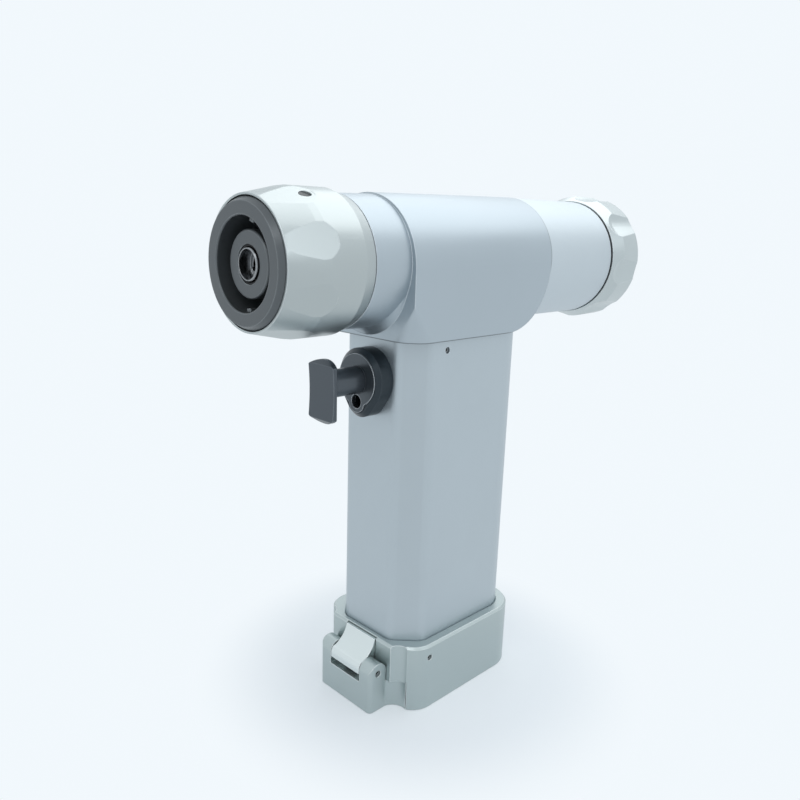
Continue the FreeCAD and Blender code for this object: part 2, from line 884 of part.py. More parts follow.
def gear_face(teeth, foot, tip, widening, first_tooth, hub):
    """The toothed outline in the X-Z plane about the origin, as a face with a round hole."""
    module = d.gear_module.value
    pitch = teeth * module / 2
    rows = tooth_points(teeth, (foot, pitch, tip), widening)
    edges = []
    step = 2 * math.pi / teeth
    previous = None

    def at(radius, angle):
        return Vector(radius * math.cos(angle), 0, radius * math.sin(angle))

    start = None
    for index in range(teeth):
        middle = math.radians(first_tooth) + index * step
        rising = [at(radius, middle - half) for radius, half in rows]
        falling = [at(radius, middle + half) for radius, half in reversed(rows)]
        if previous is None:
            start = rising[0]
        else:
            edges.append(Part.LineSegment(previous, rising[0]).toShape())
        edges.append(Part.Arc(*rising).toShape())
        edges.append(Part.LineSegment(rising[-1], falling[0]).toShape())
        edges.append(Part.Arc(*falling).toShape())
        previous = falling[-1]
    edges.append(Part.LineSegment(previous, start).toShape())
    wire = Part.Wire(edges)
    if hub is None:
        return Part.Face(wire)
    hole = Part.Wire([Part.makeCircle(hub, Vector(0, 0, 0), Vector(0, 1, 0))])
    return Part.Face([wire, hole])


def new_solid(label, shape, place):
    made = document.addObject("Part::Feature", label)
    made.Label = label
    made.Shape = shape
    made.Placement = place
    pieces.append(made)
    return made


def planet_places():
    """Directions of the three planets, in degrees from +X towards +Z."""
    return [RIGHT_ANGLE + 120 * index for index in range(3)]


def gear_sizes():
    """Tooth counts and centre distance of the planetary set."""
    sun = int(d.sun_teeth.value)
    planet = int(d.planet_teeth.value)
    ring = sun + 2 * planet
    distance = d.gear_module.value * (sun + planet) / 2
    return sun, planet, ring, distance


def make_planetary_gear():
    """Sun on the motor shaft, three planets on the carrier's pins and a fixed internal ring."""
    sun, planet, ring, distance = gear_sizes()
    module = d.gear_module.value
    backlash = d.tooth_backlash.value
    above = 0.9 * module
    below = 1.2 * module
    along = Vector(0, d.gear_width.value, 0)
    axis = Vector(0, GEAR_FRONT.value, d.axis_height.value)
    for number, direction in enumerate(planet_places(), start=1):
        pitch = planet * module / 2
        facing = direction + HALF_TURN / planet
        bore = d.planet_pin_radius.value + d.turning_gap.value
        face = gear_face(planet, pitch - below, pitch + above, -backlash, facing, bore)
        lean = math.radians(direction)
        centre = axis + Vector(distance * math.cos(lean), 0, distance * math.sin(lean))
        new_solid(f"planet_gear_{number}", face.extrude(along), Placement(centre, Rotation()))
    pitch = ring * module / 2
    space = gear_face(ring, pitch - above, pitch + below, backlash, RIGHT_ANGLE + HALF_TURN / ring, None)
    outer = d.drive_bore_radius.value - d.seat_gap.value
    blank = Part.makeCylinder(outer, along.y, Vector(0, 0, 0), Vector(0, 1, 0))
    new_solid("ring_gear", blank.cut(space.extrude(along)), Placement(axis, Rotation()))
    pitch = sun * module / 2
    bore = d.motor_shaft_radius.value + d.seat_gap.value / 2
    face = gear_face(sun, pitch - below, pitch + above, -backlash, RIGHT_ANGLE, bore)
    new_solid("sun_gear", face.extrude(along), Placement(axis, Rotation()))


def make_carrier():
    """The planet carrier, pressed on the spindle's tail, and its three pins."""
    _, _, _, distance = gear_sizes()
    teeth = d.sun_teeth + d.planet_teeth
    reach = d.gear_module * teeth / 2
    body = new_body("planet_carrier", d.axis_height)
    plate = new_sketch(body, "XZ_Plane", -CARRIER_BACK)
    circle(plate, 0, 0, reach + 3.4)
    circle(plate, 0, 0, d.spindle_radius - 0.9 + d.seat_gap)
    for direction in planet_places():
        place = (reach * cosine(direction), reach * sine(direction))
        circle(plate, place[0], place[1], d.planet_pin_radius + 0.02)
    feature(body, "Pad", plate, d.carrier_thickness)
    pins = new_body("planet_pins", d.axis_height)
    ends = new_sketch(pins, "XZ_Plane", -GEAR_BACK)
    for direction in planet_places():
        circle(ends, reach * cosine(direction), reach * sine(direction), d.planet_pin_radius)
    feature(pins, "Pad", ends, GEAR_BACK - CARRIER_FRONT)


def make_motor():
    """A brushless motor: two end bells, laminated stator with end windings, magnet rotor and shaft."""
    outer = d.drive_bore_radius - d.seat_gap
    bell_end = MOTOR_FRONT + d.end_bell
    stator_end = MOTOR_BACK - d.end_bell
    bearing_outer = d.motor_bearing_radius
    wall = d.end_bell_wall
    pocket = bearing_outer + d.seat_gap
    shaft_hole = d.motor_shaft_radius + d.slip_gap
    turned(
        "motor_front_bell",
        [
            (MOTOR_FRONT, shaft_hole),
            (MOTOR_FRONT, outer),
            (bell_end, outer),
            (bell_end, outer - wall),
            (MOTOR_FRONT + wall, outer - wall),
            (MOTOR_FRONT + wall, pocket + wall),
            (bell_end, pocket + wall),
            (bell_end, pocket),
            (bell_end - d.motor_bearing_width - d.seat_gap, pocket),
            (bell_end - d.motor_bearing_width - d.seat_gap, shaft_hole),
        ],
    )
    turned(
        "motor_rear_bell",
        [
            (MOTOR_BACK, shaft_hole),
            (MOTOR_BACK, outer),
            (stator_end, outer),
            (stator_end, outer - wall),
            (MOTOR_BACK - wall, outer - wall),
            (MOTOR_BACK - wall, pocket + wall),
            (stator_end, pocket + wall),
            (stator_end, pocket),
            (stator_end + d.motor_bearing_width + d.seat_gap, pocket),
            (stator_end + d.motor_bearing_width + d.seat_gap, shaft_hole),
        ],
    )
    shaft = d.motor_shaft_radius
    width = d.motor_bearing_width
    make_bearing("motor_front_bearing", bell_end - width, shaft, bearing_outer, width)
    make_bearing("motor_rear_bearing", stator_end, shaft, bearing_outer, width)
    stack_front = bell_end + d.end_winding
    stack_back = stator_end - d.end_winding
    turned("motor_stator", ring_path(stack_front, stack_back, d.stator_bore, outer))
    inside = d.stator_bore + 0.6
    outside = outer - wall - d.slip_gap
    body = turned("stator_windings", ring_path(bell_end + d.slip_gap, stack_front, inside, outside))
    coil = new_sketch(body, "YZ_Plane")
    outline(coil, ring_path(stack_back, stator_end - d.slip_gap, inside, outside))
    turn(body, coil)
    turned("rotor_magnets", ring_path(bell_end + 5, stator_end - 5, shaft + d.seat_gap, d.rotor_radius))
    turned(
        "motor_shaft",
        [(GEAR_FRONT, 0), (MOTOR_BACK - 0.3, 0), (MOTOR_BACK - 0.3, shaft), (GEAR_FRONT, shaft)],
    )


def make_lock_sleeve():
    """The lock sleeve: a turned cone and cylinder with eight tilted facets, one with the index mark."""
    body = turned(
        "lock_sleeve",
        [
            (SLEEVE_FACE, d.ring_radius + d.slip_gap),
            (SLEEVE_FACE, d.sleeve_lip_radius),
            (SLEEVE_FACE + d.sleeve_cone, d.sleeve_radius - 0.35),
            (SLEEVE_FACE + d.sleeve_cone + 2.5, d.sleeve_radius),
            (SLEEVE_BACK - d.sleeve_run_out, d.sleeve_radius),
            (SLEEVE_BACK, d.front_barrel_radius),
            (SLEEVE_BACK, d.nose_radius + d.slip_gap),
            (NOSE_FACE + d.slip_gap, d.nose_radius + d.slip_gap),
            (NOSE_FACE + d.slip_gap, d.ring_radius + d.slip_gap),
        ],
    )
    set_turn(body, d.sleeve_facet_turn)
    facet = new_sketch(body, "YZ_Plane")
    start = SLEEVE_FACE + 0.4
    end = start + d.sleeve_facet_length
    outline(
        facet,
        [
            (start, d.sleeve_facet_start),
            (end, d.sleeve_facet_end),
            (end, d.sleeve_radius + 4),
            (start, d.sleeve_radius + 4),
        ],
    )
    cut = feature(body, "Pocket", facet, FAR, both_ways=True)
    around(body, cut, facet, "H_Axis", d.sleeve_facets)
    mark = new_sketch(body, "XY_Plane")
    lean = FULL_TURN / 8
    mark.AttachmentOffset = Placement(Vector(0, 0, 0), Rotation(Vector(0, 1, 0), -lean))
    circle(mark, 0, SLEEVE_FACE + d.sleeve_mark_station, d.sleeve_mark_radius)
    slope = (d.sleeve_facet_end - d.sleeve_facet_start) / d.sleeve_facet_length
    deep = d.sleeve_facet_start + slope * (d.sleeve_mark_station - 0.4) - d.sleeve_mark_depth
    raise_mark(mark, deep, -lean)
    feature(body, "Pocket", mark, 4, backwards=True)
    spring_back = SLEEVE_BACK - 2
    spring_front = spring_back - d.spring_groove_length
    groove(body, ring_path(spring_front, spring_back, d.nose_radius - 1, d.spring_groove_radius))
    return body


def raise_mark(sketch, height, lean):
    """Moves a leaning sketch out along its own normal to the given height."""
    across = sine(lean)
    up = cosine(lean)
    bind(sketch, "AttachmentOffset.Base.x", height * across)
    bind(sketch, "AttachmentOffset.Base.z", height * up)
    base = Vector(height.value * across.value, 0, height.value * up.value)
    sketch.AttachmentOffset = Placement(base, Rotation(Vector(0, 1, 0), lean))


def make_coil(label, start, length, middle, wire, turns, raised):
    """A coil spring about the level axis through its own origin."""
    body = new_body(label, raised)
    section = new_sketch(body, "YZ_Plane")
    circle(section, start + wire, middle, wire)
    coil = body.newObject("PartDesign::AdditiveHelix", f"{label}_coil")
    coil.Profile = section
    coil.ReferenceAxis = (section, ["H_Axis"])
    coil.Mode = 0
    run = length - 2 * wire
    bind(coil, "Height", run)
    bind(coil, "Pitch", run / turns)
    coil.Height = run.value
    coil.Pitch = (run / turns).value
    document.recompute()
    return body


def make_rear():
    """The rear barrel, its O-ring and the scalloped knob that turns on its spigot."""
    inner = REAR_RADIUS - d.rear_barrel_wall
    spigot = inner - d.seat_gap
    neck = KNOB_FRONT_RADIUS - d.knob_wall
    stub_hole = d.knob_stub_radius + d.turning_gap
    neck_end = KNOB_FRONT + d.knob_length / 2
    turned(
        "rear_barrel",
        [
            (SPIGOT_FRONT + 0.2, inner - d.rear_inner_step),
            (SPIGOT_FRONT + 0.2, spigot),
            (REAR_FRONT, spigot),
            (REAR_FRONT, REAR_RADIUS),
            (REAR_BACK, REAR_RADIUS),
            (REAR_BACK, neck),
            (neck_end, neck),
            (neck_end, neck - 2.5),
            (REAR_BACK - 2.5, neck - 2.5),
            (REAR_BACK - 2.5, stub_hole + 3),
            (REAR_BACK + 1, stub_hole + 3),
            (REAR_BACK + 1, stub_hole),
            (REAR_BACK - 5, stub_hole),
            (REAR_BACK - 5, inner - d.rear_inner_step),
        ],
    )
    seal = d.rear_seal_gap / 2 - 0.05
    body = new_body("rear_o_ring", d.axis_height)
    section = new_sketch(body, "YZ_Plane")
    circle(section, REAR_BACK + d.rear_seal_gap / 2, REAR_RADIUS - seal - 0.1, seal)
    turn(body, section)


def make_knob():
    cap = KNOB_BACK - 4.5
    inner = KNOB_FRONT_RADIUS - d.knob_wall + d.turning_gap + 0.02
    body = turned(
        "mode_knob",
        [
            (KNOB_FRONT, inner),
            (KNOB_FRONT, KNOB_FRONT_RADIUS),
            (KNOB_FRONT + d.knob_cone, d.knob_radius),
            (KNOB_BACK - d.knob_edge, d.knob_back_radius),
            (KNOB_BACK, d.knob_back_radius - d.knob_edge),
            (KNOB_BACK, 5),
            (KNOB_BACK - 1, 4),
            (KNOB_BACK - 1, 0),
            (KNOB_STUB, 0),
            (KNOB_STUB, d.knob_stub_radius),
            (cap, d.knob_stub_radius),
            (cap, inner),
        ],
    )
    reach = d.knob_radius - d.knob_cut_depth + d.knob_cutter_radius
    scallop = new_sketch(body, "YZ_Plane")
    radius = d.knob_cutter_radius
    nose = KNOB_FRONT + d.knob_scallop_start
    low = reach - radius
    past = KNOB_BACK + 1
    shallow = low + d.knob_scallop_rise
    outline(scallop, [(nose, low, radius, "left"), (past, shallow), (past, reach), (nose - radius, reach)])
    axis = Part.LineSegment(Vector(nose.value, reach.value, 0), Vector(past.value, reach.value, 0))
    line = scallop.addGeometry(axis, True)
    for point, station in ((1, nose), (2, past)):
        constrain(scallop, "DistanceX", line, point, station)
        constrain(scallop, "DistanceY", line, point, reach)
    cut = body.newObject("PartDesign::Groove", "knob_scallop")
    cut.Profile = scallop
    cut.ReferenceAxis = (scallop, ["Axis0"])
    cut.Angle = FULL_TURN
    document.recompute()
    around(body, cut, scallop, "H_Axis", d.knob_scallops)
    set_turn(body, d.knob_turn)
    return body


def set_turn(body, angle):
    """Turns a whole sub-part about the barrel axis."""
    height = body.Placement.Base.z
    body.Placement = Placement(Vector(0, 0, height), Rotation(Vector(0, 1, 0), angle.value))
    bind(body, "Placement.Rotation.Angle", angle)


def make_trigger():
    """Blade, stem and guide rod in one piece, in a boss that is let into the grip's front wall."""
    height = TRIGGER_HEIGHT
    face = GRIP_FRONT - d.boss_face
    body = new_body("trigger_boss", height)
    shape = new_sketch(body, "XZ_Plane", -GRIP_FRONT)
    circle(shape, 0, 0, d.boss_upper_radius)
    feature(body, "Pad", shape, d.boss_face)
    lobe = new_sketch(body, "XZ_Plane", -GRIP_FRONT)
    flank(lobe, d.boss_upper_radius, d.boss_lower_radius, d.boss_lower_drop)
    feature(body, "Pad", lobe, d.boss_face)
    round_edges(body, lambda edge: edge.BoundBox.YMax < face.value + 0.01, d.boss_chamfer, "Chamfer")
    recess = new_sketch(body, "XZ_Plane", -face)
    circle(recess, 0, 0, d.plate_upper_radius + d.seat_gap)
    feature(body, "Pocket", recess, d.plate_thickness, backwards=False)
    lower_recess = new_sketch(body, "XZ_Plane", -face)
    circle(lower_recess, 0, -d.plate_lower_drop, d.plate_lower_radius + d.seat_gap)
    feature(body, "Pocket", lower_recess, d.plate_thickness, backwards=False)
    tube = new_sketch(body, "XZ_Plane", -GRIP_FRONT)
    circle(tube, 0, 0, d.stem_radius + d.guide_wall)
    feature(body, "Pad", tube, d.guide_length, backwards=True)
    stem_bore = d.stem_radius + d.turning_gap
    wall = d.guide_end_wall
    guide_back = GRIP_FRONT + d.guide_length
    groove(body, ring_path(face - 1, guide_back - wall, 0, stem_bore))
    groove(body, ring_path(guide_back - wall - 1, guide_back + 1, 0, d.rod_radius + d.turning_gap))
    hole = new_sketch(body, "XZ_Plane", -face)
    circle(hole, 0, -d.plate_lower_drop, d.lock_hole_radius)
    feature(body, "Pocket", hole, d.boss_face - 1, backwards=False)

    plate = new_body("trigger_plate", height)
    upper = new_sketch(plate, "XZ_Plane", -face + d.plate_proud)
    circle(upper, 0, 0, d.plate_upper_radius)
    thick = d.plate_thickness + d.plate_proud - 0.02
    feature(plate, "Pad", upper, thick, backwards=True)
    lower = new_sketch(plate, "XZ_Plane", -face + d.plate_proud)
    circle(lower, 0, -d.plate_lower_drop, d.plate_lower_radius)
    feature(plate, "Pad", lower, thick, backwards=True)
    waist = new_sketch(plate, "XZ_Plane", -face + d.plate_proud)
    circle(waist, 0, -d.plate_lower_drop, d.lock_hole_radius)
    circle(waist, 0, 0, d.stem_radius + d.turning_gap)
    feature(plate, "Pocket", waist, FAR, both_ways=True)

    stem_back = guide_back - wall - d.trigger_travel - d.spring_room
    rod_back = guide_back + 4
    blade_front = GRIP_FRONT - d.blade_reach
    trigger = new_body("trigger", height)
    front = new_sketch(trigger, "XZ_Plane", -blade_front)
    half = d.blade_width / 2
    top = d.blade_height / 2 - d.blade_drop
    low = -(d.blade_height / 2 + d.blade_drop)
    crown = d.blade_crown
    sweep = (half * half + crown * crown) / (2 * crown)
    outline(
        front,
        [
            (-half, low + crown),
            (half, low + crown, sweep, "left"),
            (half, top - crown),
            (-half, top - crown, sweep, "left"),
        ],
    )
    feature(trigger, "Pad", front, d.blade_thickness + d.blade_curl, backwards=True)
    finger = new_sketch(trigger, "YZ_Plane")
    hollow = d.blade_hollow
    chord = d.blade_height / 2 + 1
    bow = (chord * chord + hollow * hollow) / (2 * hollow)
    middle = -d.blade_drop
    outline(
        finger,
        [
            (blade_front - 1, middle - chord),
            (blade_front, middle - chord),
            (blade_front, middle + chord, bow, "left"),
            (blade_front - 1, middle + chord),
        ],
    )
    feature(trigger, "Pocket", finger, FAR, both_ways=True)
    bevel = new_sketch(trigger, "YZ_Plane")
    rear_edge = blade_front + d.blade_thickness
    for corner, tip, past in ((top - crown, top, 1), (low + crown, low, -1)):
        outline(
            bevel,
            [
                (blade_front - 1, corner - d.blade_hollow * past),
                (rear_edge, tip),
                (rear_edge, tip + past),
                (blade_front - 1, tip + past),
            ],
        )
    feature(trigger, "Pocket", bevel, FAR, both_ways=True)
    back = new_sketch(trigger, "XY_Plane", -d.blade_height)
    behind = blade_front + d.blade_thickness
    relief = d.blade_curl
    reach = half + 0.5
    bend = (reach * reach + relief * relief) / (2 * relief)
    outline(
        back,
        [
            (-reach, behind),
            (reach, behind, bend, "right"),
            (reach, behind + relief + 1),
            (-reach, behind + relief + 1),
        ],
    )
    feature(trigger, "Pocket", back, 2 * d.blade_height, backwards=True)
    stem = new_sketch(trigger, "YZ_Plane")
    outline(
        stem,
        [
            (blade_front + d.blade_thickness - 0.6, 0),
            (rod_back, 0),
            (rod_back, d.rod_radius),
            (stem_back, d.rod_radius),
            (stem_back, d.stem_radius),
            (blade_front + d.blade_thickness - 0.6, d.stem_radius),
        ],
    )
    turn(trigger, stem)
    turned("trigger_magnet", ring_path(rod_back, rod_back + 2, 0, d.rod_radius), height)
    spring_start = guide_back - wall - d.spring_room + 0.1
    wire = d.spring_wire / 2
    middle = d.stem_radius - wire - 0.15
    make_coil("trigger_spring", spring_start, d.spring_room - 0.2, middle, wire, 3.5, height)


def flank(sketch, upper, lower, drop):
    """The lower lobe of a drop shape, joined to the upper circle by two tangents."""
    lean = (upper - lower) / drop
    across = root(1 - lean * lean)
    outline(
        sketch,
        [
            (upper * across, -upper * lean),
            (-upper * across, -upper * lean),
            (-lower * across, -drop - lower * lean),
            (lower * across, -drop - lower * lean, lower, "left"),
        ],
    )


def ear_path(front, back, top_radius, foot):
    """A bracket's side view: upright front and back under a round top about the pin."""
    return [
        (front, foot),
        (back, foot),
        (back, d.pin_height),
        (front, d.pin_height, top_radius, "left"),
    ]


def make_base():
    """The battery base: a collar round the grip's foot and a lid with the latch block."""
    bay = d.latch_half_width - d.ear_width
    body = new_body("battery_collar")
    plan = new_sketch(body, "XY_Plane")
    outline(plan, collar_path(d.collar_pad_half_width, COLLAR_PAD, d.collar_pad_hollow))
    feature(body, "Pad", plan, d.collar_height)

    def rim(edge):
        box = edge.BoundBox
        level = near(box.ZMin, d.collar_height) and near(box.ZMax, d.collar_height)
        return level and not is_arc(edge, d.collar_pad_hollow)

    round_edges(body, rim, d.collar_edge, "Chamfer")
    opening = new_sketch(body, "XY_Plane")
    outline(opening, grip_path(-d.seat_gap))
    feature(body, "Pocket", opening, FAR, both_ways=True)
    mouth = new_sketch(body, "XY_Plane", d.collar_height - d.collar_inner_edge)
    outline(mouth, grip_path(-d.seat_gap))
    flare = new_sketch(body, "XY_Plane", d.collar_height)
    outline(flare, grip_path(-d.seat_gap - d.collar_inner_edge))
    loft(body, "SubtractiveLoft", [mouth, flare], ruled=True)
    gap = d.slip_gap / 2
    door = new_sketch(body, "XY_Plane")
    notch = d.collar_notch_half_width + 0.01
    box_outline(door, -notch, notch, LATCH_FRONT - 1, GRIP_FRONT + d.flange_depth + d.slip_gap)
    feature(body, "Pocket", door, d.flange_height + gap, backwards=True)
    catch = new_sketch(body, "YZ_Plane")
    outline(
        catch,
        [
            (COLLAR_PAD - 1, d.catch_start),
            (COLLAR_PAD, d.catch_start),
            (COLLAR_PAD + d.catch_depth, d.catch_start + d.catch_rise),
            (COLLAR_PAD + d.catch_depth, d.collar_height + 1),
            (COLLAR_PAD - 1, d.collar_height + 1),
        ],
    )
    feature(body, "Pocket", catch, 2 * bay, both_ways=True)
    hinge = new_sketch(body, "XY_Plane")
    half = d.hinge_half_width + d.slip_gap / 2
    box_outline(hinge, -half, half, GRIP_BACK - 3, COLLAR_BACK + 1)
    feature(body, "Pocket", hinge, 2 * d.hinge_knuckle_radius + 0.5, backwards=True)
    pin = new_sketch(body, "YZ_Plane")
    circle(pin, HINGE_STATION, HINGE_HEIGHT, d.hinge_pin_radius + 0.01)
    feature(body, "Pocket", pin, d.hinge_pin_length, both_ways=True)
    screw = new_sketch(body, "YZ_Plane")
    circle(screw, GRIP_FRONT + d.base_screw_setback, d.collar_height - d.base_screw_drop, d.screw_radius)
    feature(body, "Pocket", screw, FAR, both_ways=True)

    lid = new_body("battery_lid")
    plate = new_sketch(lid, "XY_Plane")
    outline(plate, grip_path(d.slip_gap))
    feature(lid, "Pad", plate, d.lid_thickness)
    rear = new_sketch(lid, "XY_Plane")
    clear = HINGE_STATION - d.hinge_knuckle_radius - 1
    start = HALF_GRIP - d.grip_back_radius + 0.5
    end = start + d.lid_corner_width
    shoulder = clear - d.lid_corner_depth
    outline(
        rear,
        [
            (-HALF_GRIP - 1, shoulder),
            (-end, shoulder),
            (-start, clear),
            (start, clear),
            (end, shoulder),
            (HALF_GRIP + 1, shoulder),
            (HALF_GRIP + 1, GRIP_BACK + 1),
            (-HALF_GRIP - 1, GRIP_BACK + 1),
        ],
    )
    feature(lid, "Pocket", rear, d.lid_thickness, backwards=True)
    front = new_sketch(lid, "XY_Plane")
    side = d.collar_notch_half_width - d.slip_gap
    notch = GRIP_FRONT + d.collar_notch_back
    deep = GRIP_FRONT + d.flange_depth
    block = d.latch_half_width
    outline(
        front,
        [
            (-block, COLLAR_PAD - 1),
            (block, COLLAR_PAD - 1),
            (block, COLLAR_PAD - 0.4),
            (side, notch, d.flange_hollow, "right"),
            (side, deep),
            (-side, deep),
            (-side, notch),
            (-block, COLLAR_PAD - 0.4, d.flange_hollow, "right"),
        ],
    )
    feature(lid, "Pad", front, d.flange_height)
    inside = new_sketch(lid, "XY_Plane", d.lid_thickness)
    outline(inside, grip_path(-d.slip_gap))
    feature(lid, "Pocket", inside, d.flange_height, backwards=True)
    ears = new_sketch(lid, "YZ_Plane")
    ear_back = LATCH_FRONT + 2 * d.ear_radius
    outline(ears, ear_path(LATCH_FRONT, ear_back, d.ear_radius, 0))
    feature(lid, "Pad", ears, 2 * d.latch_half_width, both_ways=True)

    corner = d.block_corner
    edges = new_sketch(lid, "XY_Plane")
    for side, way in ((1, "left"), (-1, "right")):
        outline(
            edges,
            [
                (side * (block - corner), LATCH_FRONT),
                (side * block, LATCH_FRONT + corner, corner, way),
                (side * (block + 1), LATCH_FRONT + corner),
                (side * (block + 1), LATCH_FRONT - 1),
                (side * (block - corner), LATCH_FRONT - 1),
            ],
        )
    feature(lid, "Pocket", edges, d.collar_height, backwards=True)
    lever_bay = new_sketch(lid, "XY_Plane", d.flange_height)
    box_outline(lever_bay, -bay, bay, LATCH_FRONT - 1, COLLAR_PAD)
    feature(lid, "Pocket", lever_bay, d.collar_height, backwards=True)
    knuckle = new_sketch(lid, "YZ_Plane")
    circle(knuckle, HINGE_STATION, HINGE_HEIGHT, d.hinge_knuckle_radius)
    feature(lid, "Pad", knuckle, 2 * d.hinge_half_width, both_ways=True)
    web = new_sketch(lid, "YZ_Plane")
    box_outline(web, clear - 0.5, HINGE_STATION, 0.15, HINGE_HEIGHT)
    feature(lid, "Pad", web, 2 * d.hinge_half_width, both_ways=True)
    bore = new_sketch(lid, "YZ_Plane")
    circle(bore, HINGE_STATION, HINGE_HEIGHT, d.hinge_pin_radius + d.turning_gap)
    feature(lid, "Pocket", bore, FAR, both_ways=True)
    latch_bore = new_sketch(lid, "YZ_Plane")
    circle(latch_bore, PIN_STATION, d.pin_height, d.latch_pin_radius + 0.01)
    feature(lid, "Pocket", latch_bore, FAR, both_ways=True)

    rod("hinge_pin", HINGE_STATION, HINGE_HEIGHT, d.hinge_pin_radius, d.hinge_pin_length)
    end = block - d.latch_pin_recess
    pin = rod("latch_pin", PIN_STATION, d.pin_height, d.latch_pin_radius, 2 * end)
    for place, backwards in ((end, False), (-end, True)):
        socket = new_sketch(pin, "YZ_Plane", place)
        hexagon(socket, PIN_STATION, d.pin_height, d.latch_pin_socket)
        feature(pin, "Pocket", socket, d.latch_pin_radius, backwards=backwards)
    make_gasket()
    make_lever(bay - d.slip_gap)


def rod(label, station, height, radius, length):
    body = new_body(label)
    section = new_sketch(body, "YZ_Plane")
    circle(section, station, height, radius)
    feature(body, "Pad", section, length, both_ways=True)
    return body


def make_gasket():
    """A flat rubber seal on the lid, under the foot of the grip."""
    body = new_body("lid_gasket")
    ring = new_sketch(body, "XY_Plane", d.lid_thickness)
    outline(ring, grip_path(d.slip_gap + 1.2))
    outline(ring, grip_path(d.slip_gap + 3.2))
    feature(body, "Pad", ring, d.gasket_thickness)
    return body


def make_lever(half):
    """The latch lever: a round hub on the pin and a hollow ramp up to the catch on the collar."""
    front = LATCH_FRONT
    pin = d.pin_height
    radius = d.ear_radius
    back = COLLAR_PAD - 0.25
    nose = COLLAR_PAD + d.catch_depth - 0.25
    catch = d.catch_start + 0.1
    brow = d.lever_brow
    lift = root(radius * radius - (radius - brow) * (radius - brow))
    tip = catch + d.catch_rise + d.lever_nose
    foot = d.lever_slot_top
    body = new_body("latch_lever")
    side = new_sketch(body, "YZ_Plane")
    outline(
        side,
        [
            (PIN_STATION, pin - d.lever_heel),
            (back, pin, d.lever_heel, "left"),
            (back, catch),
            (nose, catch + d.catch_rise),
            (nose, tip),
            (nose - 1.0, tip),
            (front + brow, pin + lift, d.lever_hollow, "right"),
            (front, pin, radius, "left"),
            (front, foot),
            (front + 1.6, foot),
            (PIN_STATION, pin - d.lever_heel),
        ][1:],
    )
    feature(body, "Pad", side, 2 * half, both_ways=True)
    bore = new_sketch(body, "YZ_Plane")
    circle(bore, PIN_STATION, pin, d.latch_pin_radius + d.turning_gap)
    feature(body, "Pocket", bore, FAR, both_ways=True)
    pocket = new_sketch(body, "YZ_Plane")
    room = d.lever_heel - 0.4
    outline(
        pocket,
        [
            (PIN_STATION - room, pin - radius),
            (back + 0.1, pin - radius),
            (back + 0.1, pin),
            (PIN_STATION + room, pin),
            (PIN_STATION, pin + room, room, "left"),
            (PIN_STATION - room, pin, room, "left"),
        ],
    )
    feature(body, "Pocket", pocket, d.latch_spring_room, both_ways=True)
    return body


def make_latch_spring():
    """The torsion spring that closes the lever, wound round its pin."""
    body = new_body("latch_spring", d.pin_height)
    section = new_sketch(body, "XY_Plane")
    wire = d.spring_wire / 2
    middle = d.latch_pin_radius + wire + 0.25
    length = d.latch_spring_room - 1
    circle(section, -(length / 2 - wire), middle, wire)
    coil = body.newObject("PartDesign::AdditiveHelix", "latch_spring_coil")
    coil.Profile = section
    coil.ReferenceAxis = (section, ["H_Axis"])
    coil.Mode = 0
    run = length - 2 * wire
    bind(coil, "Height", run)
    bind(coil, "Pitch", run / 4)
    coil.Height = run.value
    coil.Pitch = (run / 4).value
    bind(body, "Placement.Base.y", PIN_STATION)
    body.Placement = Placement(Vector(0, PIN_STATION.value, d.pin_height.value), Rotation())
    document.recompute()
    return body


def make_battery():
    """The pack: a case that slides up the grip, four cells in it and its contacts on top."""
    inset = d.grip_wall + d.slip_gap
    body = new_body("battery_case")
    outside = new_sketch(body, "XY_Plane", GRIP_FOOT)
    outline(outside, grip_path(inset))
    feature(body, "Pad", outside, d.battery_height)
    floor = GRIP_FOOT + d.battery_wall
    inside = new_sketch(body, "XY_Plane", floor)
    room = HALF_GRIP - inset - d.battery_wall
    reach = 2 * d.cell_radius + d.battery_wall
    box_outline(inside, -room, room, -reach, reach)
    feature(body, "Pocket", inside, d.battery_height - 2 * d.battery_wall, backwards=True)
    cells = new_body("battery_cells")
    ends = new_sketch(cells, "XY_Plane", floor + d.seat_gap)
    pitch = d.cell_radius + d.seat_gap
    for x, y in ((-1, -1), (1, -1), (1, 1), (-1, 1)):
        circle(ends, pitch * x, pitch * y, d.cell_radius)
    feature(cells, "Pad", ends, d.cell_height)
    top = GRIP_FOOT + d.battery_height
    contacts = new_body("battery_contacts")
    strip = new_sketch(contacts, "XY_Plane", top)
    for side in (-1, 1):
        middle = side * d.cell_radius
        half = d.cell_radius / 4
        box_outline(strip, middle - half, middle + half, -d.contact_half_length, d.contact_half_length)
    feature(contacts, "Pad", strip, d.contact_thickness)
    holder = new_body("contact_block")
    plate = new_sketch(holder, "XY_Plane", top + d.contact_thickness + d.slip_gap)
    outline(plate, grip_path(d.grip_wall + d.seat_gap))
    feature(holder, "Pad", plate, d.contact_block_height)
    return top + d.contact_thickness + d.slip_gap + d.contact_block_height


